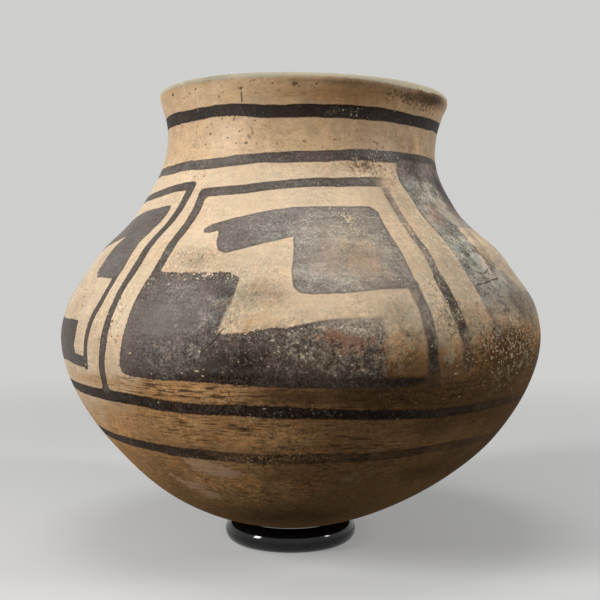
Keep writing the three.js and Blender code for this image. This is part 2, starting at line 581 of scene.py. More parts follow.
def read_wall(tree):
    """Every noise and every stored amount, as Values of a tree."""
    place = add(tree, "ShaderNodeTexCoord")["Object"]
    skin = add(tree, "ShaderNodeAttribute", attribute_name="skin")["Vector"]
    grain = use_group(grain_group, {"Vector": place, "Coarse Size": COARSE_GRAIN})
    hue = add(tree, "ShaderNodeTexNoise", {"Vector": place, **HUE_NOISE})
    drift = add(tree, "ShaderNodeTexNoise", {"Vector": place, **DRIFT_NOISE})
    inputs = {0: hue["Color"], 1: RAGGED_BY, 2: skin}
    wall = Wall()
    wall.ragged = add(tree, "ShaderNodeVectorMath", inputs, operation="MULTIPLY_ADD")
    wall.hue = ramp_of(hue, EARTH_TINTS)
    wall.cast = ramp_of(drift, PAINT_CASTS)
    wall.clusters = remap(drift, 0.34, 0.66, 0.30, 1.60, smooth=False)
    wall.coarse = contrast(grain["Value"], 3.2)
    wall.fine = contrast(grain["Fine"], 2.4)
    for name, numbers in NOISES.items():
        setattr(wall, name, noise_of(place, *numbers))
    for name, (stretch, *numbers) in DRAWN_OUT.items():
        inputs = {"Vector": skin, "Scale": (1, 1, stretch)}
        drawn_out = add(tree, "ShaderNodeMapping", inputs)
        setattr(wall, name, noise_of(drawn_out, *numbers))
    for name in STORED:
        amount = add(tree, "ShaderNodeAttribute", attribute_name=name)["Fac"]
        setattr(wall, name, amount)
    return wall


def spotted(amount, noise, softness, spread=0.42):
    """Turns an amount from 0 to 1 into spots that cover about that share of the surface.

    Spread is how far the noise strays from 0.5. Evened out over it, every value is as common.
    """
    evened = remap(noise, 0.5 - spread, 0.5 + spread)
    return remap(amount * (1 + softness) + evened, 1.0, 1 + softness)


def shaded(tone, noise, darkest, lightest):
    """Lightens and darkens a colour a little by a noise."""
    return tinted(tone, remap(noise, 0.0, 1.0, darkest, lightest, smooth=False))


print("noises:", len(NOISES) + len(DRAWN_OUT), "and stored amounts:", len(STORED))

# %% [markdown]
# The finish is built up as the potter built it, and the bare clay comes first: cream slip on the
# shoulder, buff on the neck, darker and more orange there partly as painted shade, and an
# orange-brown body low down, darker where the fire toasted it and, low down, at the right and
# under the lip, darker as painted shade. A burnishing stone was drawn round the pot, which left
# fine streaks and dark dashes.

# %% The bare clay
CREAM_SLIP = colour(0.78, 0.605, 0.415)
CLOUDED_SLIP = colour(0.97, 0.93, 0.88)
# The neck is darker and more orange than the slip partly as painted shade under the lip
NECK_BUFF_AND_SHADE = colour(0.70, 0.485, 0.285)
BODY_BROWN = colour(0.50, 0.275, 0.115)
# Dark brown of fire toasting, and painted shade low down, at the right and under the lip
TOASTED_AND_SHADED_BROWN = colour(0.135, 0.074, 0.031)
INNER_CLAY = colour(0.33, 0.20, 0.115)
DASH_DARK = colour(0.10, 0.055, 0.03)


def slip_and_body(wall):
    """The clay's colour, darkened by fire and by painted shade low down and under the lip."""
    slip = blend(wall.buff, CREAM_SLIP, NECK_BUFF_AND_SHADE)
    slip = tinted(slip, CLOUDED_SLIP, wall.cloud)
    brown = wall.coarse * 0.5 - 0.25 + wall.brown
    tone = blend(remap(brown, 0.02, 0.98), slip, BODY_BROWN)
    cloudy = wall.cloud * 0.3 + wall.mottle * 0.18 + wall.grain * 0.14 - 0.33
    # Fire toasting and painted shade darken the body and the strip under the lip here
    tone = blend(remap(cloudy + wall.toasted, 0.05, 0.95), tone, TOASTED_AND_SHADED_BROWN)
    return blend(wall.inner, tone, INNER_CLAY)


def burnished(wall, tone):
    """Streaks and dashes along the path of the stone, and a faint mottle."""
    tone = tinted(tone, (0.5 - wall.dash) * wall.dashes * 1.3 + 1.0)
    dashes = spotted(wall.dashes * 0.3, wall.dash, 0.25, 0.33)
    tone = blend(dashes * 0.75, tone, DASH_DARK)
    tone = shaded(tone, wall.streak, 0.94, 1.04)
    tone = shaded(tone, wall.mottle, 0.94, 1.04)
    return shaded(tone, wall.coarse, 0.90, 1.09)


lighter = sum(CREAM_SLIP[:3]) / sum(BODY_BROWN[:3])
print("the slip is", round(lighter, 1), "times as light as the body")

# %% [markdown]
# Next comes the paint. Its edge is a distance in millimetres that is stored on the points, cut
# here with a little noise, which gives it the edge of a yucca brush. The paint ran thin where
# the brush was nearly dry, and there the pot looks grey through it. So each stroke has a
# thinness, and a colour ramp turns thinness into black, brown-grey or a pale grey wash.
# Wear takes paint off in specks that follow the fine noise and the streaks, because the high
# spots of a burnished wall are rubbed first. Fading lets the clay through evenly.

# %% The paint layer
PAINT_EDGE_MM = 0.3
SOFT_EDGE_MM = 1.6
BRUSH_WANDER_MM = 0.45
BRUSH_GRAIN_MM = 0.25
BRUSH_DRIFT_MM = 0.6
RAGGED_EDGE_MM = 2.4
WORN_THROUGH = 0.9
PAINT_STOPS = [
    (0.0, colour(0.022, 0.014, 0.010)),
    (0.35, colour(0.088, 0.068, 0.055)),
    (0.62, colour(0.200, 0.170, 0.148)),
    # The palest stop, the grey wash, is partly a painted sheen on the right field
    (1.0, colour(0.50, 0.455, 0.385)),
]


def paint_cover(wall):
    """How much paint was laid on: 1 inside a stroke, 0 outside it."""
    grain = wall.fine - 0.5
    edge = wall.paint + grain * BRUSH_GRAIN_MM + grain * wall.rough * RAGGED_EDGE_MM
    edge = edge + (wall.mottle - 0.5) * BRUSH_WANDER_MM + (wall.cloud - 0.5) * BRUSH_DRIFT_MM
    width = wall.soft * SOFT_EDGE_MM + PAINT_EDGE_MM
    return remap(edge / width, -1.0, 1.0)


def worn_through(wall):
    """Specks and pinholes where the paint is rubbed away."""
    mixed = wall.fine * 0.5 + wall.mottle * 0.3 + wall.streak * 0.2
    rubbed = spotted(wall.worn, mixed, 0.15, 0.26)
    pinholes = spotted(wall.rough * 0.05 + 0.008, wall.dust, 0.06)
    return (pinholes * 0.6 + rubbed).clamped()


def paint_left(wall):
    """How much of the paint is still there."""
    cover = paint_cover(wall)
    left = cover - cover * worn_through(wall) * WORN_THROUGH
    faded = (wall.faded * (wall.mottle * 0.8 + 0.6)).clamped()
    return left - left * faded


def paint_colour(wall):
    """Black to pale grey, by how thin the paint is."""
    patchy = (wall.mottle * 1.4 + wall.grain + wall.fine) * 0.5 - 0.85
    grainy = patchy * (wall.rough * 0.43 + 0.13) * wall.clusters
    rim = remap(wall.paint, 0.2, 1.3, -0.12, 0.0)
    thin = wall.thin + wall.coarse * 0.3 + wall.streak * 0.1 - 0.2 + grainy + rim
    return tinted(ramp_of(thin, PAINT_STOPS), wall.cast, (wall.patchy + 0.15).clamped())


print("thinness of the paint's colours:", [position for position, _ in PAINT_STOPS])

# %% [markdown]
# Use and burial left the rest. Rough places break up into grains of many earths. Over that lie
# red-brown stains, a grey-green mineral tinge, pale scuffs where the wall was rubbed bare,
# smoke, soot in fine specks, and pale flecks of temper. Under the lip, smoke and soot also mottle
# a painted shade, and on the right field the tinge colours a painted highlight. Each is a layer
# over the ones before it, laid on through spots of its own kind.

# %% Weather, stains and soot
RED_STAIN = colour(0.29, 0.125, 0.065)
MINERAL_TINGE = colour(0.42, 0.375, 0.255)
PALE_SCUFF = colour(0.76, 0.49, 0.30)
SMOKED_BROWN = colour(0.085, 0.048, 0.026)
FLECK_PALE = colour(0.72, 0.60, 0.39)


def laid_over(tone, layers):
    """Lays colours over a tone in turn. Each layer is a mask, its strength and a colour."""
    for mask, strength, tint in layers:
        tone = blend(mask * strength, tone, tint)
    return tone


def weathered(wall, tone):
    """Breaks a colour up into grains and faint hues, most of all where the wall is rough."""
    grains = (wall.fine + wall.speck - 1.0) * (wall.rough * 0.8 + 0.13) * wall.clusters
    blots = (wall.mottle * 1.2 + wall.cloud - 1.1) * wall.patchy
    return tinted(tinted(tone, grains + blots + 1.0), wall.hue, wall.rough * 0.7 + 0.1)


def stained(wall, tone):
    """Stains, tinge, scuffs, smoke, soot and flecks, each through spots of its own."""
    mixed = (wall.mottle + wall.grain) * 0.5
    rubbed = remap(wall.streak, 0.0, 1.0, 0.5, 1.0)
    gritty = (wall.grit * 2.0 + wall.rough) * 0.02
    layers = [
        (spotted(wall.stain, mixed, 0.4, 0.3), 0.6, RED_STAIN),
        (spotted(wall.tinge, mixed, 0.7, 0.3), 0.65, MINERAL_TINGE),
        (spotted(wall.scuff, mixed, 0.8, 0.3) * rubbed, 0.9, PALE_SCUFF),
        (spotted(wall.smoke, wall.coarse, 0.6), 0.8, SMOKED_BROWN),
        (spotted(wall.soot + wall.rough * 0.1, 1.0 - wall.grain, 0.35), 0.7, SMOKED_BROWN),
        (spotted(gritty, wall.grain, 0.04), 0.65, FLECK_PALE),
    ]
    return laid_over(tone, layers)


darker = sum(BODY_BROWN[:3]) / sum(SMOKED_BROWN[:3])
print("soot is", round(darker, 1), "times as dark as the body")

# %% [markdown]
# Last come the marks that have a depth: cracks, pits where grit fell out of the wall, and single
# larger holes, with pale grains of temper between them. The lip is capped in a pale ground.
# Soil and painted shade darken the wall in soft clouds. Below zero the same patches lighten it,
# partly as painted highlight.

# %% Pits, cracks, lip, soil and painted light
LIP_PALE = colour(0.60, 0.53, 0.37)
PIT_DARK = colour(0.07, 0.042, 0.02)
PIT_SPACING, PIT_SIZE = 3.0 * MM, 0.17
GRIT_SPACING, GRIT_SIZE = 1.5 * MM, 0.34
# Heights of the relief, in millimetres
GRAIN_HEIGHT = 0.01
ROUGH_GRAIN_HEIGHT = 0.1
STREAK_HEIGHT = 0.022
SWELL_HEIGHT = 0.16
PIT_DEPTH = 0.2
CRACK_DEPTH = 0.25


def crack_lines(wall):
    """Thin dark lines. What is stored is the distance to one side of the nearest crack."""
    width = maths("ABSOLUTE", wall.crack_side) + wall.speck * 0.6 - 0.3
    return remap(width, 0.1, 0.6, 1.0, 0.0) * wall.crack_near


def dots(wall, spacing, size, share):
    """Small marks with a ragged edge, in the given share of their places."""
    inputs = {"Vector": wall.ragged, "Spacing": spacing, "Dot Size": size, "Amount": share}
    return use_group(speckle_group, inputs)["Mask"]


def pit_mask(wall):
    """Round pits, finer pecks, and the single holes."""
    round_pits = dots(wall, PIT_SPACING, PIT_SIZE, wall.pitted * 0.8 + 0.01)
    pecked = spotted(wall.pitted * 0.02, wall.peck, 0.02)
    holes = remap(wall.speck * 0.3 + wall.holes, 0.6, 0.85)
    return maths("MAXIMUM", maths("MAXIMUM", round_pits, pecked), holes)


def marked(wall, tone, pits, cracks):
    """The lip, cracks, pits and grit, then darker or lighter patches, partly painted light."""
    grit = dots(wall, GRIT_SPACING, GRIT_SIZE, wall.grit * 0.8 + 0.003)
    layers = [
        (remap(wall.mottle * 0.8 + wall.cap, 0.0, 0.8), 1.0, LIP_PALE),
        (cracks, 0.85, PIT_DARK),
        (pits, 0.8, PIT_DARK),
        (grit, 0.85, FLECK_PALE),
    ]
    # Soil and painted light: darker in soft clouds, lighter where below zero
    clotted = wall.cloud * -1.2 - 0.4
    return tinted(laid_over(tone, layers), wall.soil * clotted + 1.0)


def clay_relief(wall, pits, cracks):
    """Fine grain, burnishing streaks, pits and cracks, as a normal."""
    height = wall.speck * (wall.rough * ROUGH_GRAIN_HEIGHT + GRAIN_HEIGHT)
    height = height + wall.streak * STREAK_HEIGHT + wall.cloud * SWELL_HEIGHT
    return bumped(height - pits * PIT_DEPTH - cracks * CRACK_DEPTH)


print("pits lie about", PIT_SPACING / MM, "mm apart, and are", PIT_DEPTH, "mm deep")

# %% [markdown]
# The material puts the layers in order. A burnished slip has a soft shine. The brown body, rough
# places and thick mineral paint are matt, so they are rougher and mirror less.

# %% The clay material


def make_clay_material():
    material, surface = new_material("painted_clay_surface")
    wall = read_wall(material.node_tree)
    tone = burnished(wall, slip_and_body(wall))
    paint = paint_left(wall)
    tone = blend(paint, tone, paint_colour(wall))
    tone = stained(wall, weathered(wall, tone))
    pits, cracks = pit_mask(wall), crack_lines(wall)

    matt = maths("MAXIMUM", wall.brown, wall.rough).clamped()
    thick = remap(wall.thin, 0.0, 0.35, 0.35, 0.0)
    matt = (thick * paint + matt).clamped()
    shine = remap(wall.coarse, 0.0, 1.0, 0.38, 0.52, smooth=False)
    inputs = {
        "Base Color": marked(wall, tone, pits, cracks),
        "Roughness": shine + matt * 0.35,
        "Specular IOR Level": remap(matt, 0.0, 1.0, 0.28, 0.06),
        "Normal": clay_relief(wall, pits, cracks),
    }
    fill(surface, inputs)
    print("clay material nodes:", len(material.node_tree.nodes))
    return material


clay_material = make_clay_material()

# %% [markdown]
# The ring is moulded or turned and polished black, with no colour of its own. What makes it
# look real is a very low roughness that dust and fine handling marks break up a little. The
# marks come from the same grain and speckle groups as the clay's, with other sizes.

# %% The gloss material
POLISHED_BLACK = colour(0.004, 0.004, 0.005)
DUST_GREY = colour(0.2, 0.19, 0.18)
HAZE = {"Coarse Size": 12 * MM, "Fine Size": 0.6 * MM}
DUST = {"Spacing": 2.2 * MM, "Dot Size": 0.1, "Amount": 0.06}


def make_gloss_material():
    material, surface = new_material("black_gloss_surface")
    place = add(material.node_tree, "ShaderNodeTexCoord")["Object"]
    haze = use_group(grain_group, {"Vector": place, **HAZE})["Value"]
    dust = use_group(speckle_group, {"Vector": place, **DUST})["Mask"]
    inputs = {
        "Base Color": blend(dust * 0.35, POLISHED_BLACK, DUST_GREY),
        "Roughness": dust * 0.3 + remap(haze, 0.4, 0.7, 0.08, 0.14),
        "Normal": bumped(haze * 0.005),
    }
    fill(surface, inputs)
    print("gloss material nodes:", len(material.node_tree.nodes))
    return material


gloss_material = make_gloss_material()

# %% [markdown]
# Now the jar is turned, and then pushed about as clay is by hand. The base sits 6 mm to the left
# of the belly, the foot of the neck a little to the left, and the rim to the right and tilted.
# These are the same shifts as in the solid. Some soft swells follow that only the fine surface
# has room for: they're never more than a millimetre and a half.

# %% Turn the jar and lean it by hand
BASE_SHIFT = 6 * MM
BASE_SHIFT_FROM = 4 * MM
BASE_SHIFT_FADE = 50 * MM
NECK_SHIFT = 1.7 * MM
NECK_SHIFT_RISE = 30 * MM
RIM_SHIFT = 1.6 * MM
RIM_DROP = 3.2 * MM
JAR_TURNING = {
    "Steps Around": STEPS_AROUND,
    "Wander": 0.9 * MM,
    "Wander Size": 55 * MM,
    "Wander From": BOTTOM + 12 * MM,
    "Seed": 4.0,
}

# Middle angle, half angle, height, half height, all in degrees and mm, and how far out in mm
SWELLS = [
    (0, 999, 169, 9, 1.3), (0, 999, 181, 8, -0.8), (90, 50, 140, 9, 1), (57, 34, 252.5, 2.6, 1.3),
    (57, 30, 247.5, 2, -0.5),
]

jar = turn("painted_jar", section, clay_material, **JAR_TURNING)


def read_points(mesh):
    values = np.empty(len(mesh.vertices) * 3)
    mesh.vertices.foreach_get("co", values)
    return values.reshape(-1, 3)


def read_attribute(mesh, name):
    values = np.empty(len(mesh.vertices))
    mesh.attributes[name].data.foreach_get("value", values)
    return values


def patches(angle, height, items):
    """Soft patches added up. Each is 1 at its middle, times its strength, which comes last."""
    total = np.zeros(len(angle))
    for middle, half_angle, level, half_height, strength in items:
        around = ((angle - middle + 180) % 360 - 180) / half_angle
        total += strength * np.exp(-(around**2) - ((height - level) / half_height) ** 2)
    return total


def lean_by_hand(points):
    """Shifts the turned points and returns each one's angle, radius and height as well."""
    x, y, z = points.T
    radius = np.hypot(x, y)
    angle = np.degrees(np.arctan2(x, -y))
    share = 1 + patches(angle, z / MM, SWELLS) * MM / np.maximum(radius, 1e-6)
    fade_from = BOTTOM + BASE_SHIFT_FROM
    at_base = 1 - smoothstep(z, fade_from, fade_from + BASE_SHIFT_FADE)
    at_rim = smoothstep(z, SHOULDER, RIM)
    at_neck = (1 - at_rim) * smoothstep(z, SHOULDER - NECK_SHIFT_RISE, SHOULDER)
    new_x = x * share - BASE_SHIFT * at_base - NECK_SHIFT * at_neck + RIM_SHIFT * at_rim
    new_z = z - RIM_DROP / 2 * (x / RIM_RADIUS) * at_rim
    return np.c_[new_x, y * share, new_z], angle, radius / MM, new_z / MM


leaned, angles, radii, heights = lean_by_hand(read_points(jar.data))
jar.data.vertices.foreach_set("co", leaned.ravel())
jar.data.update()
print("jar spans, mm:", (np.ptp(leaned, axis=0) / MM).round(1))

# %% [markdown]
# The painting is drawn on the wall itself. Every outline is a short list of corners, each an
# angle in degrees round the pot, from the viewer's side towards the right, and a height in
# millimetres. Distances are measured along the clay, across by the radius and up by the climb
# of the section, so a stroke keeps its width on the sloping shoulder.
# Bands run all the way round. Strokes follow a line with a given half width. Shapes are filled.

# %% Measuring on the wall
section_climb = np.r_[0, np.cumsum(np.linalg.norm(np.diff(section / MM, axis=0), axis=1))]
outside_heights = section[:OUTSIDE_ROWS, 1] / MM
outside_climb = section_climb[:OUTSIDE_ROWS]
rows = read_attribute(jar.data, "section_row")
climbs = np.interp(rows, np.arange(len(section)), section_climb)
CURVE_STEPS = 5
BAND_SOFTENING = (-3, -1.5, 0, 1.5, 3)


def climb_at(height):
    return np.interp(height, outside_heights, outside_climb)


def on_wall(path):
    """A path's corners as (angle, climb), and the angles of all points, measured near them."""
    corners = np.array(path, float)
    corners[:, 1] = climb_at(corners[:, 1])
    middle = (corners[:, 0].min() + corners[:, 0].max()) / 2
    return corners, middle + (angles - middle + 180) % 360 - 180


def legs(path, closed):
    """For each leg of a path, every point's distance from it in mm, and its side of it."""
    corners, around = on_wall(path)
    per_degree = np.radians(radii)
    ends = np.roll(corners, -1, axis=0)
    count = len(corners) if closed else len(corners) - 1
    for start, end in zip(corners[:count], ends[:count]):
        u, v = (around - start[0]) * per_degree, climbs - start[1]
        du, dv = (end[0] - start[0]) * per_degree, end[1] - start[1]
        share = np.clip((u * du + v * dv) / np.maximum(du**2 + dv**2, 1e-9), 0, 1)
        yield np.hypot(u - share * du, v - share * dv), np.sign(u * dv - v * du)


def beside(paths, closed=False):
    """Distance in mm to the nearest of several paths, and on which side of it a point lies."""
    nearest = np.full(len(angles), np.inf)
    side = np.ones(len(angles))
    for path in paths:
        for distance, which in legs(path, closed):
            side = np.where(distance < nearest, which, side)
            nearest = np.minimum(nearest, distance)
    return nearest, side


def inside_of(path):
    """True for the points that lie within a closed path."""
    corners, around = on_wall(path)
    within = np.zeros(len(angles), bool)
    for start, end in zip(corners, np.roll(corners, -1, axis=0)):
        crosses = (start[1] > climbs) != (end[1] > climbs)
        rise = (end[1] - start[1]) or 1e-9
        within ^= crosses & (around < start[0] + (end[0] - start[0]) * (climbs - start[1]) / rise)
    return within


def flowing(path):
    """Adds points between the corners so that the path bends softly through them."""
    corners = np.array(path, float)
    padded = np.vstack([2 * corners[0] - corners[1], corners, 2 * corners[-1] - corners[-2]])
    t = np.arange(CURVE_STEPS)[:, None] / CURVE_STEPS
    curve = [
        0.5 * (2 * p1 + (p2 - p0) * t + (2 * p0 - 5 * p1 + 4 * p2 - p3) * t**2
               + (3 * p1 - p0 - 3 * p2 + p3) * t**3)
        for p0, p1, p2, p3 in zip(padded, padded[1:], padded[2:], padded[3:])
    ]
    return np.vstack([*curve, corners[-1:]])


def stroke(path, half_width):
    """Signed distance in mm of a brush stroke: positive inside it."""
    return half_width - beside([flowing(path)])[0]


def shape(path):
    """Signed distance in mm of a filled shape: positive inside it."""
    edge = beside([path], closed=True)[0]
    return np.where(inside_of(path), edge, -edge)


def level_round(path, column=1, angle=None):
    """One column of a path of corners, read at every point's angle."""
    corners = np.array(sorted(path), float)
    angle = angles if angle is None else angle
    return np.interp(angle, corners[:, 0], corners[:, column], period=360)


def band(path):
    """Signed distance in mm of a band right round: positive inside it."""
    level, half_width = [
        np.mean([level_round(path, column, angles + step) for step in BAND_SOFTENING], axis=0)
        for column in (1, 2)
    ]
    return half_width - np.abs(climbs - climb_at(level))


print("outside climbs", round(outside_climb[-1], 1), "mm of wall from base to lip")

# %% [markdown]
# The design is a common one for such jars. Two bands run round the neck and two round the lower
# body. Such a band is laid by eye while the jar is turned on the lap, so it wanders and swells
# a little, and its corners give it a height and a half width at each angle.

# %% The painted bands
# Corners of angle, height and half width
NECK_BAND = [
    (-110, 239, 3.2), (-72, 239.2, 3.3), (-59, 239.3, 3.4), (-51, 239, 3.2), (-42, 239.5, 3.2),
    (-35, 239.9, 3), (-28, 239.9, 3.2), (-21, 239.2, 3.5), (-15, 238.4, 3.8), (-9, 238.1, 3.3),
    (-4, 238.2, 3.3), (1, 238.9, 3.7), (7, 238.7, 3.4), (18, 239, 3.6), (24, 238.9, 3.4),
    (31, 239.1, 3.7), (38, 238.7, 3.6), (46, 238.2, 3.3), (56, 238.4, 3.3), (75, 239, 3.2),
    (120, 239.5, 3), (180, 239.5, 3.3),
]
FOOT_BAND = [
    (-110, 211.5, 2.8), (-73, 211.2, 2.8), (-57, 211.5, 2.8), (-47, 212.8, 2.9), (-39, 212.1, 2.9),
    (-25, 213.2, 3.1), (-19, 214.1, 3), (-14, 214.5, 2.8), (-9, 214.5, 3.2), (-4, 214.8, 3.4),
    (6, 215.1, 3), (11, 215.5, 3.1), (17, 216.2, 3.1), (22, 216.8, 3.3), (28, 216.8, 3.3),
    (42, 217, 3.4), (60, 217, 3.2), (75, 216.3, 3.1), (120, 213.5, 2.9), (180, 213, 3),
]
UPPER_BODY_BAND = [
    (-130, 95, 2.8), (-70, 95.4, 2.9), (-41, 94, 3.1), (-31, 92.5, 3.3), (-26, 91.6, 3.1),
    (-20, 91.8, 3), (-13, 91.9, 3.1), (-6, 91.5, 3.4), (1, 90.9, 3.1), (9, 90.3, 3), (15, 89.5, 3),
    (21, 89.1, 2.9), (31, 88.2, 2.8), (40, 88.8, 2.7), (50, 89.6, 2.6), (80, 90.5, 2.6),
    (130, 92, 2.7), (180, 94, 2.8),
]
LOWER_BODY_BAND = [
    (-130, 69.5, 3.1), (-70, 70.4, 3.2), (-43, 68.6, 3.3), (-32, 67.7, 3.7), (-22.7, 67.4, 3.5),
    (-10, 66.7, 3.4), (4.6, 67.1, 3.3), (16, 67.2, 3.1), (25, 67.4, 3), (38, 69.3, 3),
    (57, 69, 2.8), (90, 68.5, 2.8), (130, 67.5, 3), (180, 68.5, 3.1),
]
print("height of the neck's bands, mm:", FOOT_BAND[0][1], "and", NECK_BAND[0][1])

# %% [markdown]
# Between the bands lie framed panels. The one towards the viewer has a stepped hook above a
# stepped block, and a line that joins the two down the right side. Corners are an angle and a
# height, and they follow the brush, so no side is quite straight.

# %% The front panel
FRAME_TOP = [
    (-33.5, 197), (-20, 197.8), (-13, 199), (-6, 200.1), (1, 200.9), (8, 201.5), (14, 201.5),
    (19, 202), (26, 202.4), (30, 202.6),
]
FRAME_LEFT = [
    (-33.3, 196.5), (-33.3, 187.7), (-33.8, 180), (-34.4, 172), (-34.8, 165), (-35.4, 157),
    (-36, 150),
]
FRAME_RIGHT = [
    (31.2, 199), (31.4, 195), (32.1, 191.5), (32.4, 185), (32.3, 180), (31.8, 172), (32.2, 162),
    (32.4, 153), (33, 146), (33.7, 138), (34.6, 130), (35.3, 124), (36, 111),
]
LOWER_FIGURE = [
    (-36, 156.4), (-28, 155.7), (-16, 156.3), (-13.2, 153.5), (-14.2, 143), (-16.6, 127.4),
    (-12, 127.9), (-8.5, 129.3), (-5, 130.6), (-2, 131), (1, 132.6), (4, 134.1), (7, 134.8),
    (12, 135.1), (16.5, 134.8), (17.2, 125), (16.5, 112), (16.5, 108), (24.5, 107.7),
    (27.5, 108.5), (29.5, 104), (20, 102.5), (4, 103), (-10, 104), (-21, 105), (-31, 105),
    (-37.2, 105.6), (-39.2, 106.6), (-40, 108.6), (-40.1, 112), (-39.4, 118.4), (-38.8, 128),
    (-38.3, 138), (-37.7, 147), (-37.2, 152.5),
]
HOOK_FIGURE = [
    (-27, 178), (-25, 180.2), (-19, 182.9), (-14.5, 184.4), (-10.5, 186), (-6.5, 187.2),
    (-2.7, 188.2), (5, 189), (23, 189), (25, 186.5), (24.6, 173), (25.2, 160), (26, 149),
    (23.5, 148.2), (17, 147.8), (8, 146.2), (2.5, 145.8), (-0.3, 146.5), (-1.7, 149.5), (-2, 157),
    (-1.5, 173.5), (-10, 169.4), (-18, 165.3), (-20.3, 166.5), (-21.5, 171), (-22.2, 176.4),
    (-24.5, 175.2), (-26.6, 175.6),
]
FIGURE_LINE = [(25, 150), (25, 146.7), (25.9, 138), (26.3, 130), (26.8, 122), (27, 114), (28, 105)]
print("corners of the front block:", len(LOWER_FIGURE), "and of its hook:", len(HOOK_FIGURE))

# %% [markdown]
# The panels at the left and right repeat the design at other widths. The right one is mostly a
# washed grey field with a pale gap in it, and its palest grey is partly a painted sheen.

# %% The side panels
LEFT_TOP = [(-97, 193), (-85, 195), (-75, 196.5), (-62, 198), (-51, 200), (-44, 201), (-40, 201)]
LEFT_EDGE = [
    (-40, 200.5), (-40.4, 193.5), (-41.5, 183), (-42.5, 174), (-42.9, 167), (-43.2, 159.5),
    (-44, 149), (-44.5, 137), (-44.9, 127.5), (-45.5, 117.6), (-46.7, 107.4), (-47.2, 94),
]
LEFT_HOOK = [
    (-46.3, 191), (-45.9, 188.5), (-46.1, 183), (-47.3, 177.8), (-48.1, 172.6), (-48.1, 165),
    (-48, 157), (-48.4, 153), (-59, 153), (-61.5, 156), (-61.6, 162.4), (-61.5, 168), (-60.5, 175),
    (-68, 171), (-76, 167), (-79, 168), (-80, 178), (-83, 177), (-84.5, 178.5), (-82, 182),
    (-76, 185), (-68, 187.4), (-61, 189.3), (-52.4, 190.6),
]
LEFT_LINE = [
    (-49.3, 154), (-49.6, 147), (-50, 140.5), (-51.3, 133), (-52.2, 124), (-52.9, 114),
    (-53.5, 108),
]
LEFT_BLOCK = [
    (-95, 155), (-80, 156), (-76, 153), (-76, 131), (-58, 131.2), (-58, 125), (-59, 118),
    (-58.3, 114.2), (-53.5, 113.5), (-52.5, 107.5), (-58.4, 107.5), (-65, 109), (-80, 108.5),
    (-95, 108), (-97.5, 112), (-97, 150),
]
LEFT_FAR_EDGE = [(-96, 195), (-96.5, 175), (-97, 155)]

RIGHT_EDGE = [
    (39.7, 210), (40.3, 203), (42.5, 194), (43, 180), (42.5, 167), (43, 155), (43.5, 145),
    (44, 137), (45, 130), (45.5, 124),
]
RIGHT_FIELD = [
    (39.5, 217), (39.7, 203), (42, 194), (42.3, 180), (41.5, 167), (42, 155), (43, 137), (50, 134),
    (60, 133), (80, 136), (103, 138), (104, 160), (104, 190), (103, 214), (80, 216), (60, 217),
]
RIGHT_GAP = [
    (56, 179.5), (54, 172.5), (53.9, 166), (55, 161), (59.5, 156), (64, 151), (67.5, 146),
    (72, 145), (84, 144), (98, 144.5), (98, 157), (89, 158), (88, 166), (87, 178), (78, 180),
    (67.5, 180),
]
RIGHT_BLOCK = [(68, 121), (78, 122), (100, 121), (103, 112), (101, 104), (80, 103), (68, 103)]
RIGHT_FAR_EDGE = [(107, 205), (107.5, 180), (108, 150), (108.5, 120), (109, 106)]
print("corners of the right field:", len(RIGHT_FIELD), "and of its gap:", len(RIGHT_GAP))

# %% [markdown]
# The panels that face away from the viewer repeat the front one, each a little wider or
# narrower, as a potter would fit them into what was left of the round. Then all strokes and
# shapes become one drawing: the distance to the nearest edge, and the thinness of the paint.

# %% The whole painting
NOT_PAINTED_MM = -12.0
PLAIN_THINNESS = 0.4
# Left edge and width in degrees
FRONT_PANEL = (-37, 71)
# Left edge and width in degrees of the panels at the back, and how much higher they sit in mm
BACK_PANELS = [(115.5, 66, -1.5), (188.5, 67, 0.5)]
painted = rows < OUTSIDE_ROWS + ROWS["lip"]


def moved(path, left, width, lift):
    """The front panel's outline, fitted to another panel."""
    share = width / FRONT_PANEL[1]
    return [(left + (angle - FRONT_PANEL[0]) * share, height + lift) for angle, height in path]


def viewer_side():
    """The bands and the panels in view, as signed distances, with the thinness of each."""
    return [
        (band(NECK_BAND), 0.04),
        (band(FOOT_BAND), 0.38),
        (band(UPPER_BODY_BAND), 0.12),
        (band(LOWER_BODY_BAND), 0.22),
        (stroke(FRAME_TOP, 2.8), 0.42),
        (stroke(FRAME_LEFT, 2.7), 0.40),
        (stroke(FRAME_RIGHT, 2.2), 0.58),
        (stroke(FRAME_RIGHT[7:], 3.3), 0.44),
        (shape(LOWER_FIGURE), 0.45),
        (shape(HOOK_FIGURE), 0.58),
        (stroke(FIGURE_LINE, 3.2), 0.42),
        (stroke(LEFT_TOP, 2.6), 0.33),
        (stroke(LEFT_EDGE, 2.6), 0.34),
        (stroke(LEFT_FAR_EDGE, 2.4), 0.34),
        (shape(LEFT_HOOK), 0.48),
        (stroke(LEFT_LINE, 2.2), 0.34),
        (shape(LEFT_BLOCK), 0.30),
        (stroke(RIGHT_EDGE, 1.6), 0.68),
        (shape(RIGHT_FIELD), 0.84),
        (shape(RIGHT_BLOCK), 0.4),
        (stroke(RIGHT_FAR_EDGE, 2.3), 0.5),
    ]


def back_panel(panel):
    """The front panel's strokes and shapes at another place."""
    return [
        (stroke(moved(FRAME_TOP, *panel), 2.5), 0.4),
        (stroke(moved(FRAME_LEFT, *panel), 2.5), 0.35),
        (stroke(moved(FRAME_RIGHT, *panel), 2.4), 0.4),
        (stroke(moved(FIGURE_LINE, *panel), 2.1), 0.4),
        (shape(moved(LOWER_FIGURE, *panel)), 0.4),
        (shape(moved(HOOK_FIGURE, *panel)), 0.5),
    ]


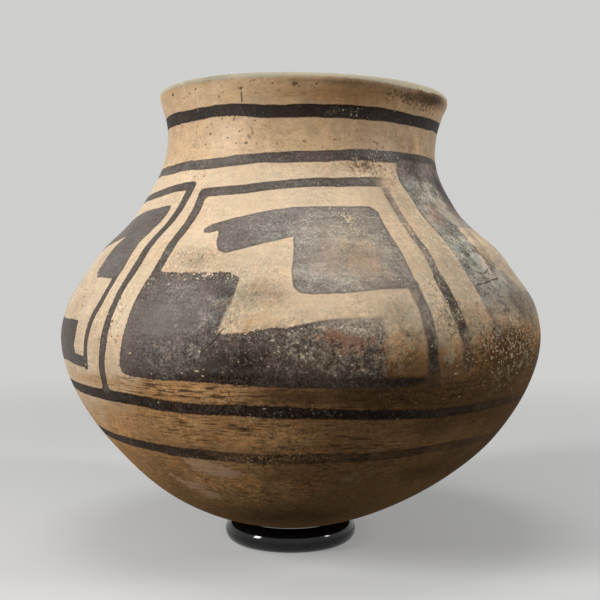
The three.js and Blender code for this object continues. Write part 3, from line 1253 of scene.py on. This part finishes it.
def join_layers(layers):
    """The union of all strokes, and at each point the thinness of the stroke that covers it."""
    paint = np.full(len(angles), NOT_PAINTED_MM)
    thin = np.full(len(angles), PLAIN_THINNESS)
    for distance, thinness in layers:
        nearer = distance > paint
        paint[nearer] = distance[nearer]
        thin[nearer] = thinness
    paint = np.minimum(paint, -shape(RIGHT_GAP))
    paint[~painted] = NOT_PAINTED_MM
    return np.clip(paint, NOT_PAINTED_MM, -NOT_PAINTED_MM), thin


back_panels = [item for panel in BACK_PANELS for item in back_panel(panel)]
paint_distance, paint_thinness = join_layers(viewer_side() + back_panels)
print("share of the outside under paint:", round(float((paint_distance[painted] > 0).mean()), 3))

# %% [markdown]
# Age is drawn in the same way, but softly. Each patch is an angle, a half angle, a height, a
# half height and a strength, in degrees and mm, and patches add up. First comes what happened
# to the paint: where the brush ran dry, where it faded or was rubbed off, where its edges are
# blurred, and where its tone wanders.

# %% Age of the paint
# Thinner paint, or thicker where the strength is below zero. The rows at 54 and 59 degrees near
# 186 to 196 mm make pale spots on the right field, a painted highlight
THINNED = [
    (-18, 16, 106.5, 3.2, -0.32), (-3, 4, 114, 5, 0.05), (-2, 4, 128, 3, -0.12),
    (-12, 14, 66.5, 4, -0.06), (-29, 7, 149, 5, 0.1), (-18, 3, 138, 8, 0.18),
    (3, 3, 113, 3, -0.12), (11, 13, 166, 20, 0.3), (-19, 5, 175, 9, -0.05),
    (-12, 7, 116, 6, -0.24), (0, 16, 110, 8, -0.12), (-33, 5, 122, 16, -0.08),
    (-24, 12, 148, 9, 0.05), (54, 3, 196, 6, 0.3), (59, 4, 186, 7, 0.3), (47, 2.5, 157, 7, 0.05),
    (51, 3, 163, 6, 0.25), (48, 6, 212, 5, -0.4), (44, 2.5, 193, 8, -0.06),
    (47, 2.5, 170, 6, -0.04), (49, 3, 180, 6, -0.1), (46, 4, 144, 5, -0.1), (64, 8, 206, 8, -0.25),
    (13, 6, 113, 6, 0.1), (13, 8, 131, 5, 0.25), (22, 8, 106, 4, -0.35), (31, 5, 165, 16, 0.1),
    (90, 16, 200, 14, -0.35), (84, 18, 150, 12, -0.2), (200, 18, 165, 15, 0.25),
    (150, 18, 120, 15, 0.2), (225, 20, 130, 14, 0.15), (280, 10, 160, 20, 0.1),
]
# Paint that let the clay through evenly
FADED = [
    (13, 8, 165, 15, 0.4), (32, 3, 190, 14, 0.3), (14, 8, 131, 5, 0.3), (31, 3, 202, 4, 0.6),
    (8, 10, 114, 8, 0.1), (17.5, 2, 124, 12, 0.35), (28, 2.5, 104, 4, 0.5), (24, 2, 140, 10, 0.3),
    (60, 20, 188, 10, 0.15), (70, 28, 134, 6, 0.6), (75, 24, 118, 12, 0.45), (62, 8, 140, 8, 0.45),
    (36, 4, 118, 10, 0.3), (62, 22, 90, 6, 0.55), (60, 28, 68, 6, 0.55), (12, 20, 67, 5, 0.35),
    (-12, 12, 67, 5, 0.25), (66, 5, 152, 8, 0.6), (210, 20, 160, 16, 0.3),
]
# Paint rubbed off in specks
WORN = [
    (0, 999, 150, 80, 0.004), (14, 10, 168, 15, 0.05), (14, 2.2, 182, 3.5, 0.6),
    (8, 13, 121, 9, 0.02), (32, 3, 175, 25, 0.1), (70, 24, 124, 14, 0.2), (60, 14, 175, 30, 0.05),
    (42, 5, 122, 14, 0.12), (32, 4, 137, 10, 0.16), (-5, 18, 67, 4, 0.14), (31, 3, 201, 4, 0.2),
    (35, 16, 67, 5, 0.11), (22, 16, 239, 4, 0.06), (-15, 5, 240, 3, 0.06), (10, 20, 199, 4, 0.05),
    (-20, 5, 156, 3, 0.3), (20, 10, 215, 3, 0.06), (-22, 10, 156, 3, 0.1), (12, 14, 91, 4, 0.03),
    (5, 12, 130, 3, 0.05), (31, 8, 216, 4, 0.05), (-1, 4, 123, 5, 0.06), (150, 25, 130, 25, 0.08),
    (215, 22, 165, 22, 0.08), (260, 18, 120, 18, 0.06),
]
# Where the edges of the paint are blurred
SOFT = [
    (17, 3, 116, 15, 1), (22, 6, 107, 4, 0.8), (26, 4, 118, 16, 0.5), (36, 4, 119, 12, 0.8),
    (28, 3, 104, 3, 0.9), (32, 3, 201, 5, 0.8), (24, 5, 148, 4, 0.4), (12, 8, 135, 5, 0.6),
    (10, 24, 91, 5, 0.35), (50, 20, 91, 6, 0.6), (60, 24, 68, 8, 0.6), (46, 3, 128, 8, 0.8),
    (60, 14, 134, 7, 0.8), (-17, 3.5, 137, 9, 0.8), (0, 999, 68, 6, 0.15), (31, 4, 180, 14, 0.25),
]
# Where the tone wanders in blots of a few millimetres
PATCHY = [
    (54, 16, 186, 34, 0.75), (50, 10, 163, 14, 0.4), (12, 14, 166, 18, 0.27),
    (9, 14, 120, 12, 0.42), (56, 14, 124, 20, 0.6), (37, 8, 124, 18, 0.45), (21, 4, 126, 18, 0.45),
    (-16, 20, 99, 6, 0.25), (-22, 30, 48, 20, 0.5), (0, 60, 80, 10, 0.15),
    (20.5, 3, 122, 14, 0.25), (50, 24, 251, 6, 0.6), (-24, 12, 138, 26, 0.1),
    (-12, 8, 140, 12, 0.25), (30, 10, 210, 8, 0.4), (0, 999, 228, 20, 0.18),
    (95, 30, 150, 50, 0.3), (200, 60, 140, 40, 0.2), (180, 90, 70, 40, 0.3),
]
print("patches of age on the paint:", len(THINNED + FADED + WORN + SOFT + PATCHY))

# %% [markdown]
# The clay has its own history. The fire toasted the lower body, and painted shade darkens it
# further low down, at the right and under the lip. The slip is thin in places.
# The burnishing stone left dark dashes. Some of the wall stayed rough and grainy.

# %% Age of the clay
# Where the body was toasted darker in the fire, and painted shade: low under the belly, on the
# right-hand side and in the strip just under the lip
TOASTED_AND_SHADED = [
    (24, 26, 99, 7, 1), (42, 34, 88, 9, 0.6), (62, 30, 76, 16, 0.62), (24, 10, 113, 5, 0.5),
    (56, 20, 108, 10, 0.7), (95, 30, 100, 20, 0.9), (12, 9, 108, 6, 0.4), (75, 34, 50, 18, 0.7),
    # Near 250 to 253 mm, here and first on the next line: painted shade under the overhanging lip
    (6, 22, 253.2, 2.6, 0.55), (26, 14, 252.6, 2.4, 0.34), (50, 20, 250.6, 3.8, 0.58),
    (62, 12, 250, 5, 0.5), (140, 45, 75, 28, 0.7), (-4, 8, 99, 4, 0.3), (-50, 16, 40, 9, 0.35),
    (44, 4, 227, 3, 0.3), (0, 40, 28, 8, 0.7), (-42, 5, 60, 25, 0.15), (40, 30, 60, 10, 0.3),
    (28, 9, 80, 8, 0.3), (67, 9, 157, 15, 0.35), (44, 9, 118, 12, 0.4), (53, 8, 122, 9, 0.7),
    (-40, 12, 52, 10, 0.25), (31, 4, 111, 7, 0.15), (54, 8, 143, 8, 0.25), (24, 7, 210, 4, 0.25),
]
# Where the slip is thin and the brown body shows through it. The first three patches, near 247
# to 250 mm, also brown the neck under the lip as painted shade
BROWNED = [
    (36, 36, 247, 7, 0.6), (8, 20, 247, 7, 0.35), (-20, 25, 250, 5, 0.15), (44, 7, 135, 10, 0.2),
    (62, 12, 140, 10, 0.3), (-50, 12, 122, 10, 0.2), (37, 5, 132, 14, 0.15), (24, 5, 120, 8, 0.1),
    (47, 10, 227, 8, 0.22), (13, 8, 164, 11, 0.7), (-8, 8, 132.5, 3.5, 0.35),
    (-52, 15, 102, 3.5, 0.45),
]
# Dark dashes that the burnishing stone left
DASHES = [
    (-20, 18, 100, 5, 0.9), (-34, 10, 101, 4, 0.55), (-24, 14, 83, 8, 0.55), (0, 18, 84, 7, 0.32),
    (0, 999, 82, 30, 0.2), (-60, 20, 128, 30, 0.12), (-20, 20, 226, 10, 0.12),
    (-30, 25, 248, 7, 0.12), (12, 16, 72, 6, 0.3), (0, 40, 66, 7, 0.25), (40, 22, 100, 12, 0.3),
    (10, 30, 247, 6, 0.2), (-6, 30, 42, 16, 0.35), (20, 24, 98, 5, 0.4), (-38, 16, 55, 14, 0.35),
]
# Where the wall is rough and grainy
ROUGH = [
    (11, 13, 121, 12, 0.46), (40, 10, 122, 16, 0.6), (57, 14, 122, 20, 0.75), (24, 20, 99, 6, 0.5),
    (-16, 20, 99, 6, 0.35), (-14, 24, 82, 12, 0.3), (26, 8, 210, 6, 0.35), (56, 14, 200, 16, 0.2),
    (12, 14, 166, 20, 0.06), (-27, 9, 160, 7, 0.45), (-22, 12, 122, 16, 0.2),
    (-8, 14, 116, 12, 0.4), (0, 999, 215, 3, 0.15), (0, 999, 238, 3, 0.12), (0, 999, 60, 60, 0.15),
    (32, 3, 160, 40, 0.35), (52, 12, 170, 24, 0.3), (54, 18, 249, 6, 0.6), (-42, 8, 125, 20, 0.2),
    (-6, 12, 129, 4, 0.3), (12, 22, 91, 5, 0.12), (-4, 26, 67, 5, 0.3), (-15, 40, 48, 18, 0.45),
    (20.5, 4, 124, 14, 0.35), (-11, 6, 142, 12, 0.4), (-8, 8, 133, 3.5, 0.35),
    (0, 999, 257, 2.5, 0.3), (210, 40, 125, 20, 0.5), (140, 30, 160, 30, 0.2),
    (74, 8, 199, 14, 0.4), (33, 5, 138, 12, 0.2),
]
print("patches of age on the clay:", len(TOASTED_AND_SHADED + BROWNED + DASHES + ROUGH))

# %% [markdown]
# Smoke, soot, minerals from the ground, stains, soil and painted light and shade lie over both.
# Below zero these patches lighten the wall.

# %% Smoke, stains, soil and painted light
# Smoke that darkened the clay in clouds; the patch near 249 mm is painted shade under the lip
SMOKE = [
    (66, 30, 104, 10, 0.12), (70, 15, 249, 4, 0.2), (62, 30, 85, 16, 0.12), (46, 4, 213, 5, 0.2),
    (150, 40, 85, 30, 0.2), (8, 14, 108, 7, 0.08), (56, 8, 113, 8, 0.2),
]
# Soot in fine dark specks; the patches near 249 mm also speckle the painted shade under the lip
SOOT = [
    (24, 8, 210.5, 4, 0.56), (36, 6, 208, 6, 0.15), (46, 7, 211, 8, 0.25), (58, 14, 249, 7, 0.3),
    (40, 16, 249, 4, 0.25), (54, 12, 120, 12, 0.3), (42, 8, 112, 12, 0.2), (12, 20, 112, 8, 0.15),
    (8, 30, 99, 4, 0.1), (30, 26, 70, 5, 0.08), (-27, 7, 162, 8, 0.2), (-41, 3, 134, 14, 0.14),
    (-54, 6, 132, 10, 0.12), (-42, 4, 114, 8, 0.1), (-58, 6, 98, 6, 0.12), (-12, 4, 140, 12, 0.08),
    (20, 24, 222, 5, 0.06), (50, 12, 150, 20, 0.06), (-11, 5, 143, 8, 0.07),
    (20.5, 4, 122, 12, 0.05), (54, 14, 249, 5, 0.3), (28, 6, 122, 14, 0.06),
    (160, 30, 120, 20, 0.12),
]
# Grey-green minerals from the ground; the rows at 54 and 59 degrees near 187 to 195 mm tint
# the painted highlight on the right field
TINGE = [
    (-27, 8, 163, 8, 0.46), (-17, 5, 137, 12, 0.26), (12, 8, 172, 12, 0.06),
    (60, 18, 176, 22, 0.16), (30, 6, 130, 12, 0.35), (39, 4, 152, 30, 0.25),
    (20.5, 4, 139, 8, 0.5), (20, 4, 122, 10, 0.48), (40, 5, 178, 12, 0.3), (30, 4, 155, 20, 0.28),
    (0, 4, 120, 6, 0.34), (4, 4, 115, 6, 0.15), (12, 8, 111, 5, 0.42), (-11, 5, 143, 10, 0.34),
    (-1, 3, 124, 4, 0.1), (5, 10, 91, 3, 0.25), (31, 4, 117, 8, 0.35), (-22, 10, 100, 5, 0.22),
    (45, 8, 100, 6, 0.14), (46, 4, 124, 6, 0.3), (55, 12, 138, 9, 0.45), (53, 10, 108, 8, 0.34),
    (62, 6, 117, 6, 0.25), (54, 4, 195, 7, 0.3), (59, 4, 187, 6, 0.3), (48, 5, 157, 7, 0.3),
    (25, 8, 209, 6, 0.3), (170, 30, 170, 25, 0.2),
]
# Red-brown stains
STAIN = [
    (6, 3, 127.5, 3, 0.8), (11, 3.5, 125, 2, 0.55), (9, 6, 127, 6, 0.15), (18, 3, 111, 4, 0.45),
    (13, 8, 118, 8, 0.2), (10, 3, 121, 3.5, 0.32), (13, 5, 113, 4, 0.2), (-63, 5, 105, 3, 0.4),
    (37, 6, 116, 9, 0.25), (40, 1.6, 209, 6, 0.6), (13, 9, 162, 12, 0.22), (2, 16, 99, 4, 0.2),
    (-14, 8, 124, 7, 0.12), (50, 8, 124, 8, 0.12), (31, 3, 150, 12, 0.08), (240, 25, 105, 10, 0.2),
]
# Slow darkening, or lightening where the strength is below zero. Part is soil and part is
# painted light: painted shade on the left where the key lamp falls brightest, on the left of the
# lip, low under the belly and at the right edge, and painted highlight on the right field, the
# right of the lip and the lower left edge
SOIL_AND_PAINTED_LIGHT = [
    (-5, 16, 161, 8, 0.12), (35, 14, 160, 30, 0.02), (75, 24, 226, 14, 0.2), (-9, 7, 147, 7, 0.4),
    (-14, 4, 142, 9, 0.04), (-60, 20, 176, 20, 0.05), (20.5, 4, 136, 10, 0.22),
    (46, 4, 168, 8, -0.22), (55.5, 5, 200, 7, -0.24), (59, 3, 187, 5, -0.2),
    (10, 3, 121, 4, -0.15), (31, 3, 133, 7, 0.2), (38, 4, 134, 16, 0.26), (58, 8, 141, 9, 0.46),
    (64, 6, 130, 9, 0.55), (63, 6, 117, 5, 0.14), (72, 8, 142, 16, 0.35), (46, 4, 130, 10, 0.25),
    (58.8, 5, 164, 6, 0.26), (58, 4, 175, 5, -0.06), (72, 8, 199, 14, 0.4), (-27, 7, 162, 7, 0.16),
    (-42, 14, 256.8, 2.5, 0.34), (54, 8, 120, 6, -0.2), (51, 8, 107, 5, -0.1),
    (-62, 24, 132, 40, 0.22), (-70, 24, 240, 30, 0.14), (-19, 30, 257, 2.5, 0.2),
    (50, 24, 254, 3, -0.2), (-16, 8, 99.5, 5, -0.12), (-5, 12, 77.5, 6, -0.38),
    (-5, 16, 48, 7, -0.5), (-57, 9, 73, 8, -0.48), (31.5, 3, 119, 7, -0.12),
    (-0.5, 3, 123, 4, -0.3), (8, 6, 113, 5, -0.25), (24, 4, 204, 3, -0.3), (-22, 8, 176, 6, -0.14),
    (54, 1.6, 196, 4, -0.4), (58, 2, 187, 4, -0.35), (52, 1.5, 163, 4, -0.35),
    (50, 1.5, 204, 5, 0.2), (-35, 5, 101, 4, 0.2), (10, 6, 128, 6, -0.2), (1, 4, 165, 16, -0.14),
    (6, 6, 152, 5, -0.12), (21, 5, 162, 12, -0.1), (14, 9, 190, 9, -0.22), (6, 9, 155, 6, -0.2),
    (8, 14, 215, 3, -0.14), (13, 7, 165, 10, 0.06), (60, 10, 248, 4, 0.12),
    (-58, 8, 184, 10, 0.14), (68, 6, 199, 14, 0.5), (36, 12, 55, 10, 0.2), (-1, 20, 29, 6, 0.12),
    (-8, 6, 99, 4, 0.2), (20.5, 4, 114, 5, -0.15), (45, 4, 193, 9, -0.15),
]
print("patches of smoke, stains and soil:", len(SMOKE + SOOT + TINGE + STAIN + SOIL_AND_PAINTED_LIGHT))

# %% [markdown]
# The last marks have an edge of their own: scuffs on the base, grains of temper that show,
# pits, holes and cracks. The slip ends in an uneven line low on the body, and the pale ground
# of the lip ends in another.

# %% Scuffs, pits and cracks
# Pale scuffs from standing and handling
SCUFF = [
    (-26, 5, 60, 3.5, 0.98), (-21, 5, 57, 3, 0.8), (-33, 5, 47, 4, 0.82), (-28, 5, 42, 3, 0.8),
    (-13, 8, 60, 3, 0.35), (-25, 6, 63, 2.5, 0.45), (12, 2.5, 53, 3, 0.6), (15, 2, 57, 2.5, 0.5),
    (-52, 6, 84, 8, 0.15), (-40, 5, 50, 4, 0.4), (-31, 5, 119, 7, 0.16), (12, 8, 166, 14, 0.14),
    (160, 20, 60, 8, 0.3),
]
# Pale grains of temper in the surface
GRIT = [
    (0, 999, 130, 60, 0.01), (0, 6, 121, 8, 0.34), (12, 8, 121, 8, 0.16), (54, 12, 120, 10, 1.1),
    (-24, 14, 122, 18, 0.08), (38, 7, 122, 10, 0.45), (30, 14, 216, 4, 0.2), (-9, 8, 122, 8, 0.16),
    (80, 20, 118, 14, 0.5), (0, 14, 91, 4, 0.25), (12, 14, 168, 14, 0.12), (-27, 7, 160, 6, 0.3),
    (-20, 5, 156, 2.5, 0.5), (52, 12, 178, 26, 0.14), (25, 20, 239, 3, 0.2),
    (-12, 14, 67, 4, 0.25), (32, 4, 160, 30, 0.2), (200, 40, 120, 20, 0.3),
    (-36.3, 1.5, 150.5, 2.5, 1.6), (-10, 0.8, 87, 1.6, 2.4), (53.5, 0.9, 199.5, 3, 2.5),
]
# Small pits
PITTED = [
    (-38, 40, 250, 7, 0.5), (8, 25, 252, 4, 0.5), (-24, 18, 232, 12, 0.6), (-52, 16, 222, 10, 0.5),
    (0, 999, 225, 8, 0.12), (-28, 8, 158, 10, 0.35), (-60, 14, 135, 25, 0.6),
    (-43, 4, 125, 25, 0.8), (20, 30, 221, 5, 0.9), (0, 999, 100, 30, 0.08), (58, 20, 120, 20, 0.6),
    (32, 8, 206, 5, 0.5), (48, 16, 248, 6, 0.8),
]
# Single holes where a grain fell out
HOLES = [
    (-60, 1.6, 253, 1.2, 1), (-48, 1.4, 252, 1.2, 1), (-23, 0.9, 251, 1.2, 1),
    (-23, 0.6, 247.5, 2, 0.9), (-23, 0.6, 244.5, 1.6, 0.9), (-38, 1.4, 228, 1.1, 1.2),
    (-38, 1.1, 225.6, 0.8, 1), (-27, 0.8, 235.6, 0.8, 1), (-21, 1.4, 223, 0.9, 0.9),
    (-3, 1.1, 251.6, 1.1, 1.2), (4.5, 0.5, 251.6, 1.4, 1), (-41, 1, 206.6, 0.9, 1),
    (-36, 1.2, 207, 1.1, 1.1), (-31, 0.8, 249, 0.8, 0.9), (13, 0.9, 224, 0.8, 0.9),
    (8, 0.9, 225.5, 0.7, 0.9), (-44, 0.9, 253, 0.9, 1), (-52, 0.9, 250, 0.8, 0.9),
    (-11, 0.6, 252, 0.7, 0.9), (120, 1.2, 226, 1, 1), (170, 1, 250, 1, 1), (230, 1, 232, 1.2, 1),
    (262, 1.1, 246, 0.9, 1), (200, 0.8, 205, 1, 1),
]
# Dark cracks and grooves, as lines of angle and height
CRACKS = [
    [(43.1, 149.6), (47.4, 150.5), (50.6, 151.9), (54.1, 152.4)],
    [(46.3, 156.1), (49, 155.2), (51.9, 157.1)], [(-15.5, 129), (-17, 124), (-18.5, 121)],
]
# Where the cream slip gives way to brown: angle, height, and half the depth of the change
SLIP_EDGE = [
    (-180, 100, 14), (-120, 94, 24), (-80, 84, 30), (-60, 86, 30), (-40, 97, 24), (-34, 108, 10),
    (-10, 110, 6), (8, 110, 6), (16, 124, 12), (22, 127, 13), (35, 122, 12), (60, 128, 10),
    (85, 130, 12), (110, 124, 14), (150, 108, 14),
]
# The lower edge of the lip's pale ground
LIP_EDGE = [
    (-100, 256), (-62, 256), (-41, 256.3), (-27, 255.9), (-15, 255.4), (-5, 255.2), (5, 255.3),
    (15, 255.1), (24, 254.5), (38, 253.3), (48, 252.9), (57, 253), (73, 253.6), (100, 254.8),
    (180, 255.4),
]
print("holes:", len(HOLES), "and cracks:", len(CRACKS))

# %% [markdown]
# Every amount is stored on the jar's points under the name that the material reads. The skin is
# where a point lies on the clay once it is unrolled onto a plain tube, so that streaks run round
# the pot and not through it. Patches are kept off the inside.

# %% Store the finish on the jar
SKIN_RADIUS = 0.08
BUFF_FROM_MM, BUFF_TO_MM = 204, 222
LIP_SOFTNESS_MM = 1.2
CRACK_NEAR_MM, CRACK_FAR_MM = 1.2, 3.0
CRACK_REACH_MM = 6
AMOUNTS = {
    "worn": WORN, "faded": FADED, "dashes": DASHES, "smoke": SMOKE, "soot": SOOT,
    "tinge": TINGE, "stain": STAIN, "scuff": SCUFF, "grit": GRIT, "pitted": PITTED,
    "toasted": TOASTED_AND_SHADED, "soil": SOIL_AND_PAINTED_LIGHT, "rough": ROUGH, "patchy": PATCHY, "holes": HOLES,
    "soft": SOFT,
}


def store(name, values):
    attribute = jar.data.attributes.new(name, "FLOAT", "POINT")
    attribute.data.foreach_set("value", np.asarray(values, np.float32))


def store_skin():
    turn_angle = np.radians(angles)
    flat = SKIN_RADIUS * np.sin(turn_angle), SKIN_RADIUS * np.cos(turn_angle)
    attribute = jar.data.attributes.new("skin", "FLOAT_VECTOR", "POINT")
    attribute.data.foreach_set("vector", np.c_[*flat, climbs * MM].astype(np.float32).ravel())


def store_clay():
    """Slip, the neck's colour with its painted shade, pale lip and plain inside."""
    edge, depth = level_round(SLIP_EDGE), level_round(SLIP_EDGE, 2)
    brown = smoothstep(edge - heights, -depth, depth) + patches(angles, heights, BROWNED)
    store("brown", np.clip(brown, 0, 1))
    store("buff", smoothstep(heights, BUFF_FROM_MM, BUFF_TO_MM))
    store("cap", np.clip((heights - level_round(LIP_EDGE)) / LIP_SOFTNESS_MM, -2, 2))
    lip_end = OUTSIDE_ROWS + ROWS["lip"]
    store("inner", smoothstep(rows, lip_end, lip_end + 1))


def store_paint_and_age():
    store("paint", paint_distance)
    store("thin", paint_thinness + patches(angles, heights, THINNED))
    crack, side = beside([flowing(path) for path in CRACKS])
    store("crack_side", np.clip(crack, 0, CRACK_REACH_MM) * side)
    store("crack_near", smoothstep(-crack, -CRACK_FAR_MM, -CRACK_NEAR_MM))
    outside = rows < OUTSIDE_ROWS + ROWS["lip"] // 2
    for name, items in AMOUNTS.items():
        store(name, patches(angles, heights, items) * outside)


store_skin()
store_clay()
store_paint_and_age()
print("read but not stored:", sorted(set(STORED) - {item.name for item in jar.data.attributes}))
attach(jar, "jar")
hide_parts("olla_jar")

# %% [markdown]
# The ring is the other turned piece: a round bar, bent into a hoop, with a narrow flat to stand
# on. The solid has sixteen facets round the bar. The same tree turns a finer section, and the
# flat keeps sharp edges.

# %% The ring
RING_OUTER_RADIUS = 38 * MM
BAR_RADIUS = 6.5 * MM
FOOT_HALF = 2.5 * MM
RING_STEPS = 128
BAR_STEPS = 32
SHARP_FROM = math.radians(20)


def ring_section():
    foot_angle = math.asin(FOOT_HALF / BAR_RADIUS)
    centre_radius = RING_OUTER_RADIUS - BAR_RADIUS
    centre_height = BAR_RADIUS * math.cos(foot_angle)
    turns = np.linspace(foot_angle, math.tau - foot_angle, BAR_STEPS + 1)
    across = centre_radius + BAR_RADIUS * np.sin(turns)
    bar = np.c_[across, centre_height - BAR_RADIUS * np.cos(turns)]
    return np.vstack([bar, bar[:1]])


ring = turn("polished_ring", ring_section(), gloss_material, **{"Steps Around": RING_STEPS})
ring_points = read_points(ring.data)
ring_points[:, 0] -= BASE_SHIFT
ring.data.vertices.foreach_set("co", ring_points.ravel())
ring.data.set_sharp_from_angle(angle=SHARP_FROM)
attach(ring, "stand")
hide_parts("display_ring")
print("the jar's lowest point above the table, mm:", round(float(heights.min()), 2))

# %% [markdown]
# The studio is plain. A tall lamp stands high at the left front, a narrower one at the right,
# and a broad soft one hangs overhead. They are set so that a colour renders about as it is
# written where the light falls straight on. A pale floor runs out to a pale world. The light
# that the floor sends up is dark, so that the belly's underside lies in shade.

# %% Studio light
TARGET_HEIGHT = 130 * MM
LAMP_DISTANCE = 1.3
FULL_LEVEL_WATTS = 9.87
# Degrees from -Y towards +X, degrees up, width and height in metres, and level
LAMPS = {
    "key_left": (-61, 22, 0.24, 0.6, 0.84),
    "second_right": (70, 26, 0.16, 0.5, 0.36),
    "overhead": (-20, 76, 0.6, 0.6, 0.28),
}
BACKDROP = colour(0.62, 0.62, 0.61)
AMBIENT = colour(0.10, 0.10, 0.105)
FLOOR_PALE = colour(0.80, 0.80, 0.79)
FLOOR_SHADE = colour(0.05, 0.05, 0.05)
FLOOR_RADIUS = 6.0
FLOOR_DROP = 0.05 * MM
# Between these distances in metres, the floor takes on this much of the world's own colour
FLOOR_FADE = (0.15, 1.0, 0.3, 1.0)


def softbox(name, azimuth, elevation, width, height, level):
    """A lamp that faces the jar."""
    lamp = bpy.data.lights.new(name, "AREA")
    lamp.shape = "RECTANGLE"
    lamp.size = width
    lamp.size_y = height
    lamp.energy = FULL_LEVEL_WATTS * LAMP_DISTANCE**2 * level
    azimuth, elevation = math.radians(azimuth), math.radians(elevation)
    flat = math.cos(elevation) * LAMP_DISTANCE
    rise = math.sin(elevation) * LAMP_DISTANCE
    stand = place_in_scene(name, lamp)
    stand.location = (
        math.sin(azimuth) * flat, -math.cos(azimuth) * flat, TARGET_HEIGHT + rise
    )
    stand.rotation_euler = (math.pi / 2 - elevation, 0, azimuth)


def seen_directly(tree):
    """1 for what the camera sees, also in a mirror or through glass, and 0 for stray light."""
    ray = add(tree, "ShaderNodeLightPath")
    seen = maths("MAXIMUM", ray["Is Camera Ray"], ray["Is Glossy Ray"])
    return maths("MAXIMUM", seen, ray["Is Transmission Ray"])


def make_world():
    world = bpy.data.worlds.new("studio")
    world.use_nodes = True
    tree = world.node_tree
    tree.nodes.clear()
    tint = blend(seen_directly(tree), AMBIENT, BACKDROP)
    light = add(tree, "ShaderNodeBackground", {"Color": tint, "Strength": 1.0})
    add(tree, "ShaderNodeOutputWorld", {"Surface": light})
    bpy.context.scene.world = world


def floor_material():
    """A pale matt floor that fades into the world's colour before it ends."""
    material, _ = new_material("studio_floor")
    tree = material.node_tree
    tree.nodes.clear()
    seen = seen_directly(tree)
    tint = blend(seen, FLOOR_SHADE, FLOOR_PALE)
    matt = add(tree, "ShaderNodeBsdfDiffuse", {"Color": tint})
    far_tint = blend(seen, AMBIENT, BACKDROP)
    far = add(tree, "ShaderNodeEmission", {"Color": far_tint, "Strength": 1.0})
    place = add(tree, "ShaderNodeTexCoord")["Object"]
    reach = add(tree, "ShaderNodeVectorMath", {0: place}, operation="LENGTH")["Value"]
    fade = remap(reach, *FLOOR_FADE)
    mixed = add(tree, "ShaderNodeMixShader", {0: fade, 1: matt, 2: far})
    add(tree, "ShaderNodeOutputMaterial", {"Surface": mixed})
    return material


def make_floor():
    disc = bmesh.new()
    bmesh.ops.create_circle(disc, cap_ends=True, radius=FLOOR_RADIUS, segments=96)
    mesh = bpy.data.meshes.new("floor")
    disc.to_mesh(mesh)
    disc.free()
    mesh.transform(mathutils.Matrix.Translation((0, 0, -FLOOR_DROP)))
    mesh.materials.append(floor_material())
    place_in_scene("floor", mesh)


for name, numbers in LAMPS.items():
    softbox(name, *numbers)
make_world()
make_floor()
bpy.context.scene.view_settings.view_transform = "Standard"
print("lamps:", ", ".join(LAMPS))
